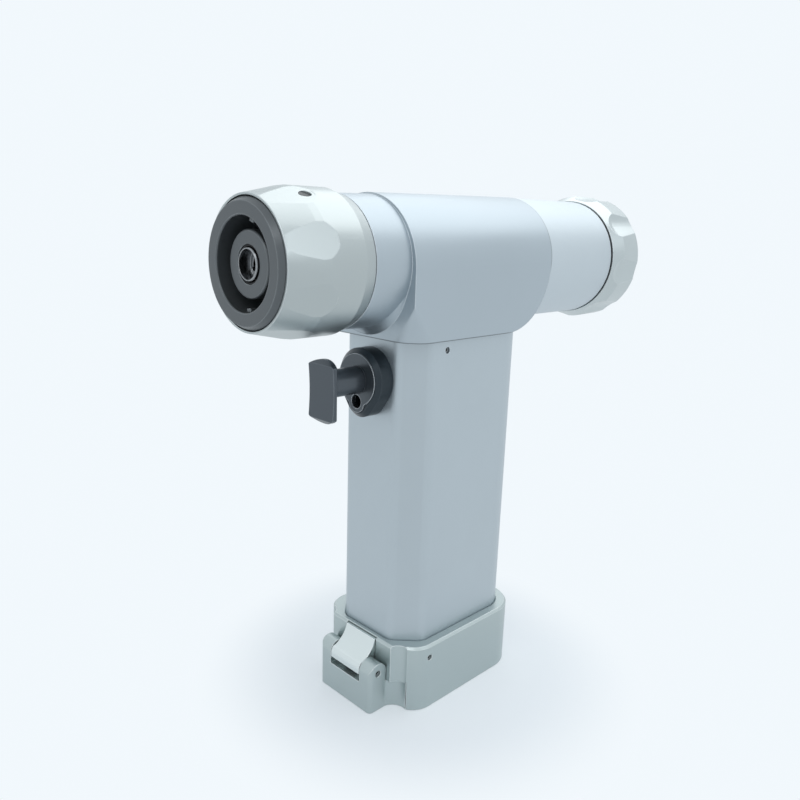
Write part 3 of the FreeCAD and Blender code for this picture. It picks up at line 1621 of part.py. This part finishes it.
def make_electronics(low):
    """The controller, which stands on the contact block, and the sensor board behind the trigger."""
    high = GRIP_TOP - 2 * d.grip_wall
    station = GRIP_FRONT + d.board_setback
    back = -(station + d.board_thickness)
    controller = new_body("controller_board")
    laminate = new_sketch(controller, "XZ_Plane", back)
    half = HALF_GRIP - d.grip_wall - 2 * d.seat_gap
    box_outline(laminate, -half, half, low, high)
    feature(controller, "Pad", laminate, d.board_thickness)
    chips = new_sketch(controller, "XZ_Plane", back)
    step = half / 2
    for column in (-1, 0, 1):
        middle = column * 1.2 * step
        for line in (1, 3):
            base = low + line * step / 2
            box_outline(chips, middle - step / 3, middle + step / 3, base, base + 2 * step / 3)
    feature(controller, "Pad", chips, d.board_parts_height, backwards=True)
    sensor = new_body("sensor_board")
    face = new_sketch(sensor, "XZ_Plane", -(station - d.seat_gap))
    wide = d.sensor_half_width
    tall = d.sensor_half_height
    middle = TRIGGER_HEIGHT
    box_outline(face, -wide, wide, middle - tall, middle + tall)
    thick = 3 * d.board_thickness / 4
    feature(sensor, "Pad", face, thick)
    chip = new_sketch(sensor, "XZ_Plane", -(station - d.seat_gap - thick))
    box_outline(chip, -wide / 4, wide / 4, middle - tall / 4, middle + tall / 4)
    feature(sensor, "Pad", chip, d.board_parts_height / 2)


def make_selector():
    """The rotary switch in the rear barrel, driven by the knob's stub."""
    outer = REAR_RADIUS - d.rear_barrel_wall - d.rear_inner_step - d.seat_gap
    end = KNOB_STUB - d.slip_gap
    start = end - d.selector_thickness
    turned("selector_switch", [(start, 0), (end, 0), (end, outer), (start, outer)])


def check_and_write():
    """Stops on any failed object, then writes each sub-part."""
    document.recompute()
    failed = []
    for thing in document.Objects:
        state = [word for word in thing.State if word in ("Invalid", "Error")]
        if state:
            failed.append(f"{thing.Label} is {state}")
    if failed:
        raise RuntimeError("; ".join(failed))
    for piece in pieces:
        shape = piece.Shape
        if shape.isNull() or not shape.isValid():
            raise RuntimeError(f"{piece.Label} has no valid shape")
    for piece in pieces:
        piece.Shape.exportStep(f"parts/{piece.Label}.step")


make_head_housing()
make_grip_housing()
make_coupling()
make_nose_boss()
make_bearing("spindle_front_bearing", BEARING_START, d.spindle_radius, d.bearing_radius, d.bearing_width)
make_bearing(
    "spindle_rear_bearing",
    BEARING_START + d.bearing_width,
    d.spindle_radius,
    d.bearing_radius,
    d.bearing_width,
)
make_spindle()
make_carrier()
make_planetary_gear()
make_motor()
make_lock_sleeve()
make_coil(
    "sleeve_spring",
    SLEEVE_BACK - 2 - d.spring_groove_length + 0.2,
    d.spring_groove_length - 0.4,
    d.nose_radius + d.slip_gap + d.sleeve_spring_wire / 2,
    d.sleeve_spring_wire / 2,
    3,
    d.axis_height,
)
make_rear()
make_knob()
make_selector()
make_trigger()
make_base()
make_latch_spring()
battery_top = make_battery()
make_electronics(battery_top)
grip_screw = (GRIP_FRONT + d.grip_screw_setback, GRIP_TOP - d.grip_screw_drop)
sunk = HALF_GRIP - d.screw_recess
make_grub_screws("grip_screws", grip_screw[0], grip_screw[1], sunk, d.grip_wall - d.screw_recess)
base_screw = (GRIP_FRONT + d.base_screw_setback, d.collar_height - d.base_screw_drop)
sunk = COLLAR_SIDE - d.screw_recess
make_grub_screws("collar_screws", base_screw[0], base_screw[1], sunk, sunk - HALF_GRIP + d.grip_wall / 2)
check_and_write()
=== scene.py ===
import math

import bmesh
import bpy
from mathutils import Matrix, Vector


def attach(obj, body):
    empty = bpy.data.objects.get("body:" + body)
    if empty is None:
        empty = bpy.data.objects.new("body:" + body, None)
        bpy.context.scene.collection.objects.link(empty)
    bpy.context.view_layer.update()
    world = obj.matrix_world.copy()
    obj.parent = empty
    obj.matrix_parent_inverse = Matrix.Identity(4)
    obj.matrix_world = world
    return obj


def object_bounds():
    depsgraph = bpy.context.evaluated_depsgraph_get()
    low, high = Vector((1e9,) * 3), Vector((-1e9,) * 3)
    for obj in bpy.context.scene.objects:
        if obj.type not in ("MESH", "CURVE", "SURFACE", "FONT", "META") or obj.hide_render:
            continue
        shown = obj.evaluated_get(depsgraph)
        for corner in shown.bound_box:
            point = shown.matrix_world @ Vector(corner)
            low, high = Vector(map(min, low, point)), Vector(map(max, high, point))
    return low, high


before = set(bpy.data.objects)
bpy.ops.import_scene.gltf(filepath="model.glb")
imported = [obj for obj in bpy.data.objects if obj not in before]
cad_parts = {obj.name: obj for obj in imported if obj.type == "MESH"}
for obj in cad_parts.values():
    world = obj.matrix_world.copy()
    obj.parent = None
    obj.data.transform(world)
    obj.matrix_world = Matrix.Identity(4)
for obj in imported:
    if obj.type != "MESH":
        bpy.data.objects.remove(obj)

cad_low, cad_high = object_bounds()

# Camera
# The photograph looks down at the drill's left front corner from the height of its barrel, through
# a short lens that leans a little to one side.
photo_camera = bpy.data.cameras.new("photo_camera")
photo_camera.sensor_width = 36.0
photo_camera.lens = 33.485
photo_camera.shift_x = -0.0021
photo_camera.shift_y = 0.0154
photo_camera.clip_start = 0.01
camera = bpy.data.objects.new("photo_camera", photo_camera)
bpy.context.scene.collection.objects.link(camera)
round_from_front = math.radians(45.06)
above_level = math.radians(14.62)
lean = math.radians(1.816)
turn = Matrix.Rotation(round_from_front, 4, "Z") @ Matrix.Rotation(math.pi / 2 - above_level, 4, "X")
lens_place = Matrix.Translation((0.18453, -0.19810, 0.17411))
camera.matrix_world = lens_place @ turn @ Matrix.Rotation(lean, 4, "Z")
bpy.context.scene.camera = camera
bpy.context.scene.view_settings.view_transform = "Standard"

# Table and paper backdrop
# One sheet of pale blue-white paper that lies under the drill and shows only a faint shadow. It is
# a little self-lit to the camera, so that it stays pale without more light on the drill.
paper_colour = (0.885, 0.94, 0.98, 1.0)
paper_mesh = bpy.data.meshes.new("paper")
half = 1.6
paper_gap = 0.0002
paper_mesh.from_pydata(
    [(-half, -half, 0), (half, -half, 0), (half, half, 0), (-half, half, 0)], [], [(0, 1, 2, 3)]
)
paper = bpy.data.objects.new("paper", paper_mesh)
paper.location.z = cad_low[2] - paper_gap
bpy.context.scene.collection.objects.link(paper)
paper_look = bpy.data.materials.new("paper")
paper_look.use_nodes = True
nodes = paper_look.node_tree.nodes
links = paper_look.node_tree.links
nodes.clear()
seen = nodes.new("ShaderNodeLightPath")
direct = nodes.new("ShaderNodeMath")
direct.operation = "MAXIMUM"
links.new(seen.outputs["Is Camera Ray"], direct.inputs[0])
links.new(seen.outputs["Is Glossy Ray"], direct.inputs[1])
place = nodes.new("ShaderNodeNewGeometry")
distance = nodes.new("ShaderNodeVectorMath")
distance.operation = "LENGTH"
links.new(place.outputs["Position"], distance.inputs[0])
fade = nodes.new("ShaderNodeMapRange")
fade.interpolation_type = "SMOOTHSTEP"
fade.inputs["From Min"].default_value = 0.047
fade.inputs["From Max"].default_value = 0.09
fade.inputs["To Min"].default_value = 0.42
fade.inputs["To Max"].default_value = 1.0
links.new(distance.outputs["Value"], fade.inputs["Value"])
share = nodes.new("ShaderNodeMath")
share.operation = "MULTIPLY"
links.new(fade.outputs["Result"], share.inputs[1])
links.new(direct.outputs[0], share.inputs[0])
matt = nodes.new("ShaderNodeBsdfDiffuse")
matt.inputs["Color"].default_value = paper_colour
glow = nodes.new("ShaderNodeEmission")
glow.inputs["Color"].default_value = paper_colour
mixed = nodes.new("ShaderNodeMixShader")
links.new(share.outputs[0], mixed.inputs["Fac"])
links.new(matt.outputs[0], mixed.inputs[1])
links.new(glow.outputs[0], mixed.inputs[2])
paper_out = nodes.new("ShaderNodeOutputMaterial")
links.new(mixed.outputs[0], paper_out.inputs["Surface"])
paper_mesh.materials.append(paper_look)

# Studio light
# A wide soft box overhead and behind, two weak ones to the right and above the camera, and an even
# fill from the room. The room shows to the camera and in the metal as the same pale paper.
room = bpy.data.worlds.new("room")
room.use_nodes = True
bpy.context.scene.world = room
nodes = room.node_tree.nodes
links = room.node_tree.links
nodes.clear()
seen = nodes.new("ShaderNodeLightPath")
straight = nodes.new("ShaderNodeMath")
straight.operation = "MAXIMUM"
links.new(seen.outputs["Is Camera Ray"], straight.inputs[0])
links.new(seen.outputs["Is Transmission Ray"], straight.inputs[1])
direct = nodes.new("ShaderNodeMath")
direct.operation = "MAXIMUM"
links.new(straight.outputs[0], direct.inputs[0])
links.new(seen.outputs["Is Glossy Ray"], direct.inputs[1])
fill = nodes.new("ShaderNodeBackground")
fill.inputs["Color"].default_value = (0.80, 0.86, 0.92, 1.0)
fill.inputs["Strength"].default_value = 0.62
plain = nodes.new("ShaderNodeBackground")
plain.inputs["Color"].default_value = paper_colour
plain.inputs["Strength"].default_value = 1.0
mixed = nodes.new("ShaderNodeMixShader")
links.new(direct.outputs[0], mixed.inputs["Fac"])
links.new(fill.outputs[0], mixed.inputs[1])
links.new(plain.outputs[0], mixed.inputs[2])
room_out = nodes.new("ShaderNodeOutputWorld")
links.new(mixed.outputs[0], room_out.inputs["Surface"])


def soft_box(name, place, aim, width, height, power, colour):
    lamp = bpy.data.lights.new(name, "AREA")
    lamp.shape = "RECTANGLE"
    lamp.size = width
    lamp.size_y = height
    lamp.energy = power
    lamp.color = colour
    box = bpy.data.objects.new(name, lamp)
    box.location = place
    box.rotation_euler = (Vector(aim) - Vector(place)).to_track_quat("-Z", "Y").to_euler()
    bpy.context.scene.collection.objects.link(box)


soft_box("overhead_box", (-0.05, 0.45, 0.85), (0.0, 0.0, 0.16), 1.1, 0.8, 3.2, (1.0, 1.0, 1.0))
soft_box("side_box", (0.75, 0.10, 0.56), (0.0, -0.05, 0.16), 0.35, 0.35, 0.45, (0.96, 0.98, 1.0))
soft_box("front_box", (0.30, -0.55, 0.75), (0.0, -0.02, 0.10), 0.5, 0.3, 0.8, (1.0, 1.0, 1.0))

# Shells: head housing, rear barrel and grip
# Three shells of aluminium alloy, machined, bead blasted and clear anodised. The grip is a drawn
# tube held in the head's skirt by two set screws, and the rear barrel is let into the head's bore.


def new_group(name, wanted, given):
    """An empty shader group with its named inputs (name, kind, value) and outputs (name, kind)."""
    group = bpy.data.node_groups.new(name, "ShaderNodeTree")
    for label, kind, value in wanted:
        socket = group.interface.new_socket(label, in_out="INPUT", socket_type=kind)
        socket.default_value = value
    for label, kind in given:
        group.interface.new_socket(label, in_out="OUTPUT", socket_type=kind)
    group.nodes.new("NodeGroupInput")
    group.nodes.new("NodeGroupOutput")
    return group


def ends(group):
    entry = next(node for node in group.nodes if node.bl_idname == "NodeGroupInput")
    leave = next(node for node in group.nodes if node.bl_idname == "NodeGroupOutput")
    return entry, leave


# Worn edges with painted highlight: a mask of where the surface turns sharply, which the metals
# lighten both as wear and as painted highlight, and a normal that rounds those edges.
edge_wear_and_highlight = new_group(
    "edge_wear_and_highlight",
    [("Width", "NodeSocketFloat", 0.0004), ("Sharpness", "NodeSocketFloat", 3.0)],
    [("Mask", "NodeSocketFloat"), ("Normal", "NodeSocketVector")],
)
entry, leave = ends(edge_wear_and_highlight)
make = edge_wear_and_highlight.nodes.new
link = edge_wear_and_highlight.links.new
rounded = make("ShaderNodeBevel")
rounded.samples = 4
link(entry.outputs["Width"], rounded.inputs["Radius"])
surface = make("ShaderNodeNewGeometry")
likeness = make("ShaderNodeVectorMath")
likeness.operation = "DOT_PRODUCT"
link(rounded.outputs["Normal"], likeness.inputs[0])
link(surface.outputs["Normal"], likeness.inputs[1])
bend = make("ShaderNodeMath")
bend.operation = "SUBTRACT"
bend.inputs[0].default_value = 1.0
bend.use_clamp = True
link(likeness.outputs["Value"], bend.inputs[1])
strength = make("ShaderNodeMath")
strength.operation = "MULTIPLY"
strength.use_clamp = True
link(bend.outputs[0], strength.inputs[0])
link(entry.outputs["Sharpness"], strength.inputs[1])
link(strength.outputs[0], leave.inputs["Mask"])
link(rounded.outputs["Normal"], leave.inputs["Normal"])

# Blasted grain: fine even peening, with broad faint patches of handling.
blasted_grain = new_group(
    "blasted_grain",
    [("Grain Scale", "NodeSocketFloat", 5200.0), ("Patch Scale", "NodeSocketFloat", 28.0)],
    [("Height", "NodeSocketFloat"), ("Patches", "NodeSocketFloat")],
)
entry, leave = ends(blasted_grain)
make = blasted_grain.nodes.new
link = blasted_grain.links.new
place = make("ShaderNodeTexCoord")
peening = make("ShaderNodeTexNoise")
peening.inputs["Detail"].default_value = 2.0
link(place.outputs["Object"], peening.inputs["Vector"])
link(entry.outputs["Grain Scale"], peening.inputs["Scale"])
link(peening.outputs["Fac"], leave.inputs["Height"])
handling = make("ShaderNodeTexNoise")
handling.inputs["Detail"].default_value = 4.0
handling.inputs["Roughness"].default_value = 0.6
link(place.outputs["Object"], handling.inputs["Vector"])
link(entry.outputs["Patch Scale"], handling.inputs["Scale"])
link(handling.outputs["Fac"], leave.inputs["Patches"])


def joint_shade_group(axis):
    """A mask of painted shade in a seam: dark within a hair of the plane where two pieces meet, and
    1 elsewhere.
    """
    group = new_group(
        "joint_shade_" + axis, [("Station", "NodeSocketFloat", 0.0)], [("Unshaded", "NodeSocketFloat")]
    )
    entry, leave = ends(group)
    make = group.nodes.new
    link = group.links.new
    place = make("ShaderNodeTexCoord")
    split = make("ShaderNodeSeparateXYZ")
    link(place.outputs["Object"], split.inputs[0])
    offset = make("ShaderNodeMath")
    offset.operation = "SUBTRACT"
    link(split.outputs[axis], offset.inputs[0])
    link(entry.outputs["Station"], offset.inputs[1])
    distance = make("ShaderNodeMath")
    distance.operation = "ABSOLUTE"
    link(offset.outputs[0], distance.inputs[0])
    unshaded = make("ShaderNodeMapRange")
    unshaded.inputs["From Min"].default_value = 0.0001
    unshaded.inputs["From Max"].default_value = 0.0004
    unshaded.inputs["To Min"].default_value = 0.35
    link(distance.outputs[0], unshaded.inputs["Value"])
    link(unshaded.outputs["Result"], leave.inputs["Unshaded"])
    return group


joint_shades = {axis: joint_shade_group(axis) for axis in ("Y", "Z")}


def metal_look(
    name,
    colour,
    worn_and_lit_edge_colour,
    roughness,
    metallic,
    edge_width=0.0004,
    edge_sharpness=2.0,
    grain_scale=5200.0,
    grain_strength=0.06,
    grain_depth=0.00002,
    joints=(),
):
    """A metal with blasted grain, faint patches, edges lighter with wear and painted highlight, and
    a line of painted shade along its joints.

    A joint is (axis, station): the plane where this piece meets the next one.
    """
    look = bpy.data.materials.new(name)
    look.use_nodes = True
    tree = look.node_tree
    add = tree.nodes.new
    join = tree.links.new
    shader = tree.nodes["Principled BSDF"]
    shader.inputs["Metallic"].default_value = metallic

    edges = add("ShaderNodeGroup")
    edges.node_tree = edge_wear_and_highlight
    edges.inputs["Width"].default_value = edge_width
    edges.inputs["Sharpness"].default_value = edge_sharpness
    grains = add("ShaderNodeGroup")
    grains.node_tree = blasted_grain
    grains.inputs["Grain Scale"].default_value = grain_scale

    # The patches run from a shade darker to a shade lighter, and from a little glossier to duller.
    shade = 0.05
    patched = add("ShaderNodeMix")
    patched.data_type = "RGBA"
    patched.inputs[6].default_value = (*[channel * (1 - shade) for channel in colour], 1.0)
    patched.inputs[7].default_value = (*[min(channel * (1 + shade), 1.0) for channel in colour], 1.0)
    join(grains.outputs["Patches"], patched.inputs[0])
    gloss = add("ShaderNodeMapRange")
    gloss.inputs["To Min"].default_value = roughness - shade
    gloss.inputs["To Max"].default_value = roughness + shade
    join(grains.outputs["Patches"], gloss.inputs["Value"])
    join(gloss.outputs["Result"], shader.inputs["Roughness"])

    # Edges lighter with wear and with painted highlight.
    edged = add("ShaderNodeMix")
    edged.data_type = "RGBA"
    edged.inputs[7].default_value = (*worn_and_lit_edge_colour, 1.0)
    join(edges.outputs["Mask"], edged.inputs[0])
    join(patched.outputs[2], edged.inputs[6])
    finish = edged.outputs[2]
    # Painted shade along each joint: the colour is darkened within a hair of the joint's plane.
    for axis, station in joints:
        line = add("ShaderNodeGroup")
        line.node_tree = joint_shades[axis]
        line.inputs["Station"].default_value = station
        seam_shaded = add("ShaderNodeMix")
        seam_shaded.data_type = "RGBA"
        seam_shaded.blend_type = "MULTIPLY"
        seam_shaded.inputs[0].default_value = 1.0
        join(finish, seam_shaded.inputs[6])
        join(line.outputs["Unshaded"], seam_shaded.inputs[7])
        finish = seam_shaded.outputs[2]
    join(finish, shader.inputs["Base Color"])

    relief = add("ShaderNodeBump")
    relief.inputs["Strength"].default_value = grain_strength
    relief.inputs["Distance"].default_value = grain_depth
    join(grains.outputs["Height"], relief.inputs["Height"])
    join(edges.outputs["Normal"], relief.inputs["Normal"])
    join(relief.outputs["Normal"], shader.inputs["Normal"])
    return look


def dress(look, *names):
    """Gives a finish to CAD nodes."""
    for name in names:
        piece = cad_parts[name]
        piece.data.materials.clear()
        piece.data.materials.append(look)


# The skirt meets the grip at its foot, and the head meets the rear barrel behind; painted shade
# darkens both seams.
skirt_joint = ("Z", 0.1354)
barrel_joint = ("Y", 0.03928)

head_look = metal_look(
    "blasted_head",
    colour=(0.45, 0.51, 0.55),
    worn_and_lit_edge_colour=(0.84, 0.88, 0.90),
    roughness=0.40,
    metallic=0.8,
    edge_sharpness=3.0,
    joints=(skirt_joint, barrel_joint),
)
dress(head_look, "head_housing")
grip_look = metal_look(
    "blasted_grip",
    colour=(0.50, 0.56, 0.595),
    worn_and_lit_edge_colour=(0.80, 0.84, 0.86),
    roughness=0.40,
    metallic=0.8,
    joints=(skirt_joint,),
)
dress(grip_look, "grip_housing")
barrel_look = metal_look(
    "blasted_barrel",
    colour=(0.60, 0.66, 0.695),
    worn_and_lit_edge_colour=(0.84, 0.88, 0.90),
    roughness=0.50,
    metallic=0.8,
    joints=(barrel_joint,),
)
dress(barrel_look, "rear_barrel")

# Lock sleeve and mode knob
# Turned from bar, milled with facets and scallops, then finely blasted, so they are a shade
# brighter and smoother than the shells.
turned_look = metal_look(
    "turned_alloy",
    colour=(0.465, 0.508, 0.51),
    worn_and_lit_edge_colour=(0.82, 0.86, 0.87),
    roughness=0.33,
    metallic=0.9,
    edge_sharpness=3.0,
    grain_scale=6500.0,
)
dress(turned_look, "lock_sleeve")
knob_look = metal_look(
    "knob_alloy",
    colour=(0.53, 0.58, 0.585),
    worn_and_lit_edge_colour=(0.88, 0.91, 0.92),
    roughness=0.30,
    metallic=0.9,
    edge_sharpness=3.0,
    grain_scale=6500.0,
)
dress(knob_look, "mode_knob")

# Index mark
# A near-black disc laid in the shallow round recess of one of the sleeve's facets, standing for the
# mark's dark fill and for painted shade inside the recess. It is a little hollow in the middle, and
# it turns with the sleeve.
barrel_axis = Vector((0.0, 0.0, 0.160))
mark_from_top = math.radians(24.5)
mark_station = -0.0644
recess_floor = 0.02154
fill_rows = ((0.00188, 0.0), (0.00188, 0.00022), (0.00150, 0.00017), (0.00080, 0.00013))
fill_steps = 48
outwards = Vector((math.sin(mark_from_top), 0.0, math.cos(mark_from_top)))
around = Vector((math.cos(mark_from_top), 0.0, -math.sin(mark_from_top)))
along = Vector((0.0, 1.0, 0.0))
fill_form = bmesh.new()
fill_rings = []
for radius, height in fill_rows:
    centre = barrel_axis + along * mark_station + outwards * (recess_floor + height)
    ring = []
    for step in range(fill_steps):
        turned_by = math.tau * step / fill_steps
        rim = around * math.cos(turned_by) + along * math.sin(turned_by)
        ring.append(fill_form.verts.new(centre + rim * radius))
    fill_rings.append(ring)
for lower, upper in zip(fill_rings, fill_rings[1:]):
    for step in range(fill_steps):
        after = (step + 1) % fill_steps
        fill_form.faces.new((lower[step], lower[after], upper[after], upper[step]))
fill_form.faces.new(fill_rings[0])
fill_form.faces.new(fill_rings[-1])
bmesh.ops.recalc_face_normals(fill_form, faces=fill_form.faces)
fill_and_shade_mesh = bpy.data.meshes.new("index_fill_and_shade")
fill_form.to_mesh(fill_and_shade_mesh)
fill_form.free()
index_fill_and_shade = bpy.data.objects.new("index_fill_and_shade", fill_and_shade_mesh)
bpy.context.scene.collection.objects.link(index_fill_and_shade)
fill_and_shade_look = metal_look(
    "index_fill_and_shade",
    colour=(0.060, 0.068, 0.072),
    worn_and_lit_edge_colour=(0.10, 0.11, 0.12),
    roughness=0.45,
    metallic=0.0,
    edge_sharpness=0.5,
    grain_depth=0.00001,
)
fill_and_shade_mesh.materials.append(fill_and_shade_look)
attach(index_fill_and_shade, "lock_sleeve")

# Coupling ring, boss and keys
# Hard coated steel, mid grey and even, with its edges painted lighter, as thin coat and as painted
# highlight on the chamfers.
# The boss stands inside the ring, and the two keys stand on the wall of the recess between them.
ring_look = metal_look(
    "hard_coat",
    colour=(0.115, 0.126, 0.132),
    worn_and_lit_edge_colour=(0.42, 0.45, 0.46),
    roughness=0.32,
    metallic=0.55,
    edge_width=0.0006,
    edge_sharpness=2.4,
)
dress(ring_look, "coupling_ring", "nose_boss", "coupling_keys")

# Drive spindle
# Bare steel, ground and polished, carried by two bearings behind the boss.
# It is darker than the bearings, springs and pins.
spindle_look = metal_look(
    "spindle_steel",
    colour=(0.30, 0.31, 0.32),
    worn_and_lit_edge_colour=(0.52, 0.53, 0.54),
    roughness=0.26,
    metallic=1.0,
    grain_scale=3000.0,
    grain_strength=0.03,
)
dress(spindle_look, "drive_spindle")

# Bearings, springs, pins and cells
# Bright stainless steel, as bought in or ground to size.
# Nearly all of it is out of sight inside the drill.
steel_look = metal_look(
    "stainless",
    colour=(0.62, 0.62, 0.63),
    worn_and_lit_edge_colour=(0.85, 0.85, 0.86),
    roughness=0.2,
    metallic=1.0,
    grain_scale=3000.0,
    grain_strength=0.03,
)
dress(
    steel_look,
    "hinge_pin",
    "spindle_front_bearing",
    "spindle_rear_bearing",
    "motor_front_bearing",
    "motor_rear_bearing",
    "motor_shaft",
    "planet_pins",
    "sleeve_spring",
    "trigger_spring",
    "latch_spring",
    "battery_cells",
)

# Seals
# Black rubber: the lip seal round the spindle, the O-ring in front of the knob and the gasket on
# the battery lid.
rubber_look = metal_look(
    "seal_rubber",
    colour=(0.012, 0.012, 0.013),
    worn_and_lit_edge_colour=(0.03, 0.03, 0.032),
    roughness=0.6,
    metallic=0.0,
    edge_sharpness=0.5,
)
dress(rubber_look, "spindle_seal", "rear_o_ring", "lid_gasket")

# Trigger
# The blade and its stem slide in a boss let into the grip's front. All are steel with a dark grey
# hard coat, and the plate with the lock hole is pressed into the boss.
trigger_look = metal_look(
    "dark_coat",
    colour=(0.088, 0.102, 0.116),
    worn_and_lit_edge_colour=(0.34, 0.37, 0.40),
    roughness=0.30,
    metallic=0.65,
    edge_sharpness=2.4,
)
dress(trigger_look, "trigger")
# The plate's edges are painted far lighter: a painted highlight round its rim and its lock hole.
plate_look = metal_look(
    "plate_coat",
    colour=(0.095, 0.108, 0.120),
    worn_and_lit_edge_colour=(0.62, 0.65, 0.68),
    roughness=0.28,
    metallic=0.7,
    edge_width=0.0005,
    edge_sharpness=6.0,
)
dress(plate_look, "trigger_plate")
boss_look = metal_look(
    "black_coat",
    colour=(0.026, 0.037, 0.046),
    worn_and_lit_edge_colour=(0.16, 0.19, 0.21),
    roughness=0.34,
    metallic=0.5,
    edge_sharpness=2.0,
)
dress(boss_look, "trigger_boss")

# Set screws and latch pin
# Hexagon socket screws of bare steel, sunk a little under the surface, and the latch's pin, whose
# two ends have the same socket.
# The screws' edges are painted much lighter, a painted glint at the socket rims.
screw_look = metal_look(
    "screw_steel",
    colour=(0.20, 0.21, 0.215),
    worn_and_lit_edge_colour=(0.78, 0.80, 0.81),
    roughness=0.25,
    metallic=1.0,
    edge_width=0.0002,
    edge_sharpness=5.0,
)
dress(screw_look, "grip_screws", "collar_screws", "latch_pin")

# Battery base
# A collar screwed round the grip's foot and a lid that hinges behind, both cast alloy with a matt
# grey-green anodised coat. The lever is the same alloy, more finely finished.
# Their edges are painted much lighter, both as wear and as painted highlight along the rims.
base_look = metal_look(
    "matt_alloy",
    colour=(0.475, 0.54, 0.54),
    worn_and_lit_edge_colour=(0.92, 0.95, 0.94),
    roughness=0.36,
    metallic=0.85,
    edge_sharpness=5.0,
    grain_scale=4200.0,
    grain_strength=0.1,
)
dress(base_look, "battery_collar", "battery_lid")
lever_look = metal_look(
    "lever_alloy",
    colour=(0.72, 0.775, 0.77),
    worn_and_lit_edge_colour=(0.94, 0.96, 0.96),
    roughness=0.26,
    metallic=0.9,
    edge_sharpness=4.0,
)
dress(lever_look, "latch_lever")

# Gears and motor
# Hobbed steel gears on a steel carrier, and a brushless motor in two light alloy end bells. None
# of these shows from outside.
gear_look = metal_look(
    "gear_steel",
    colour=(0.30, 0.30, 0.31),
    worn_and_lit_edge_colour=(0.5, 0.5, 0.5),
    roughness=0.3,
    metallic=1.0,
)
dress(
    gear_look,
    "planet_carrier",
    "planet_gear_1",
    "planet_gear_2",
    "planet_gear_3",
    "ring_gear",
    "sun_gear",
)
dress(turned_look, "motor_front_bell", "motor_rear_bell")
lamination_look = metal_look(
    "laminations",
    colour=(0.10, 0.10, 0.105),
    worn_and_lit_edge_colour=(0.2, 0.2, 0.2),
    roughness=0.45,
    metallic=0.8,
)
dress(lamination_look, "motor_stator")
copper_look = metal_look(
    "copper",
    colour=(0.62, 0.25, 0.10),
    worn_and_lit_edge_colour=(0.8, 0.45, 0.25),
    roughness=0.3,
    metallic=1.0,
)
dress(copper_look, "stator_windings", "battery_contacts")
magnet_look = metal_look(
    "nickel",
    colour=(0.55, 0.54, 0.52),
    worn_and_lit_edge_colour=(0.8, 0.8, 0.78),
    roughness=0.2,
    metallic=1.0,
)
dress(magnet_look, "rotor_magnets", "trigger_magnet")

# Battery and boards
# A black moulded case that slides up the grip, a moulded contact block, and two green boards.
plastic_look = metal_look(
    "black_plastic",
    colour=(0.02, 0.02, 0.022),
    worn_and_lit_edge_colour=(0.05, 0.05, 0.05),
    roughness=0.5,
    metallic=0.0,
    grain_scale=2500.0,
    grain_strength=0.2,
)
dress(plastic_look, "battery_case", "contact_block", "selector_switch")
board_look = metal_look(
    "board_green",
    colour=(0.02, 0.12, 0.05),
    worn_and_lit_edge_colour=(0.3, 0.3, 0.1),
    roughness=0.4,
    metallic=0.0,
)
dress(board_look, "controller_board", "sensor_board")
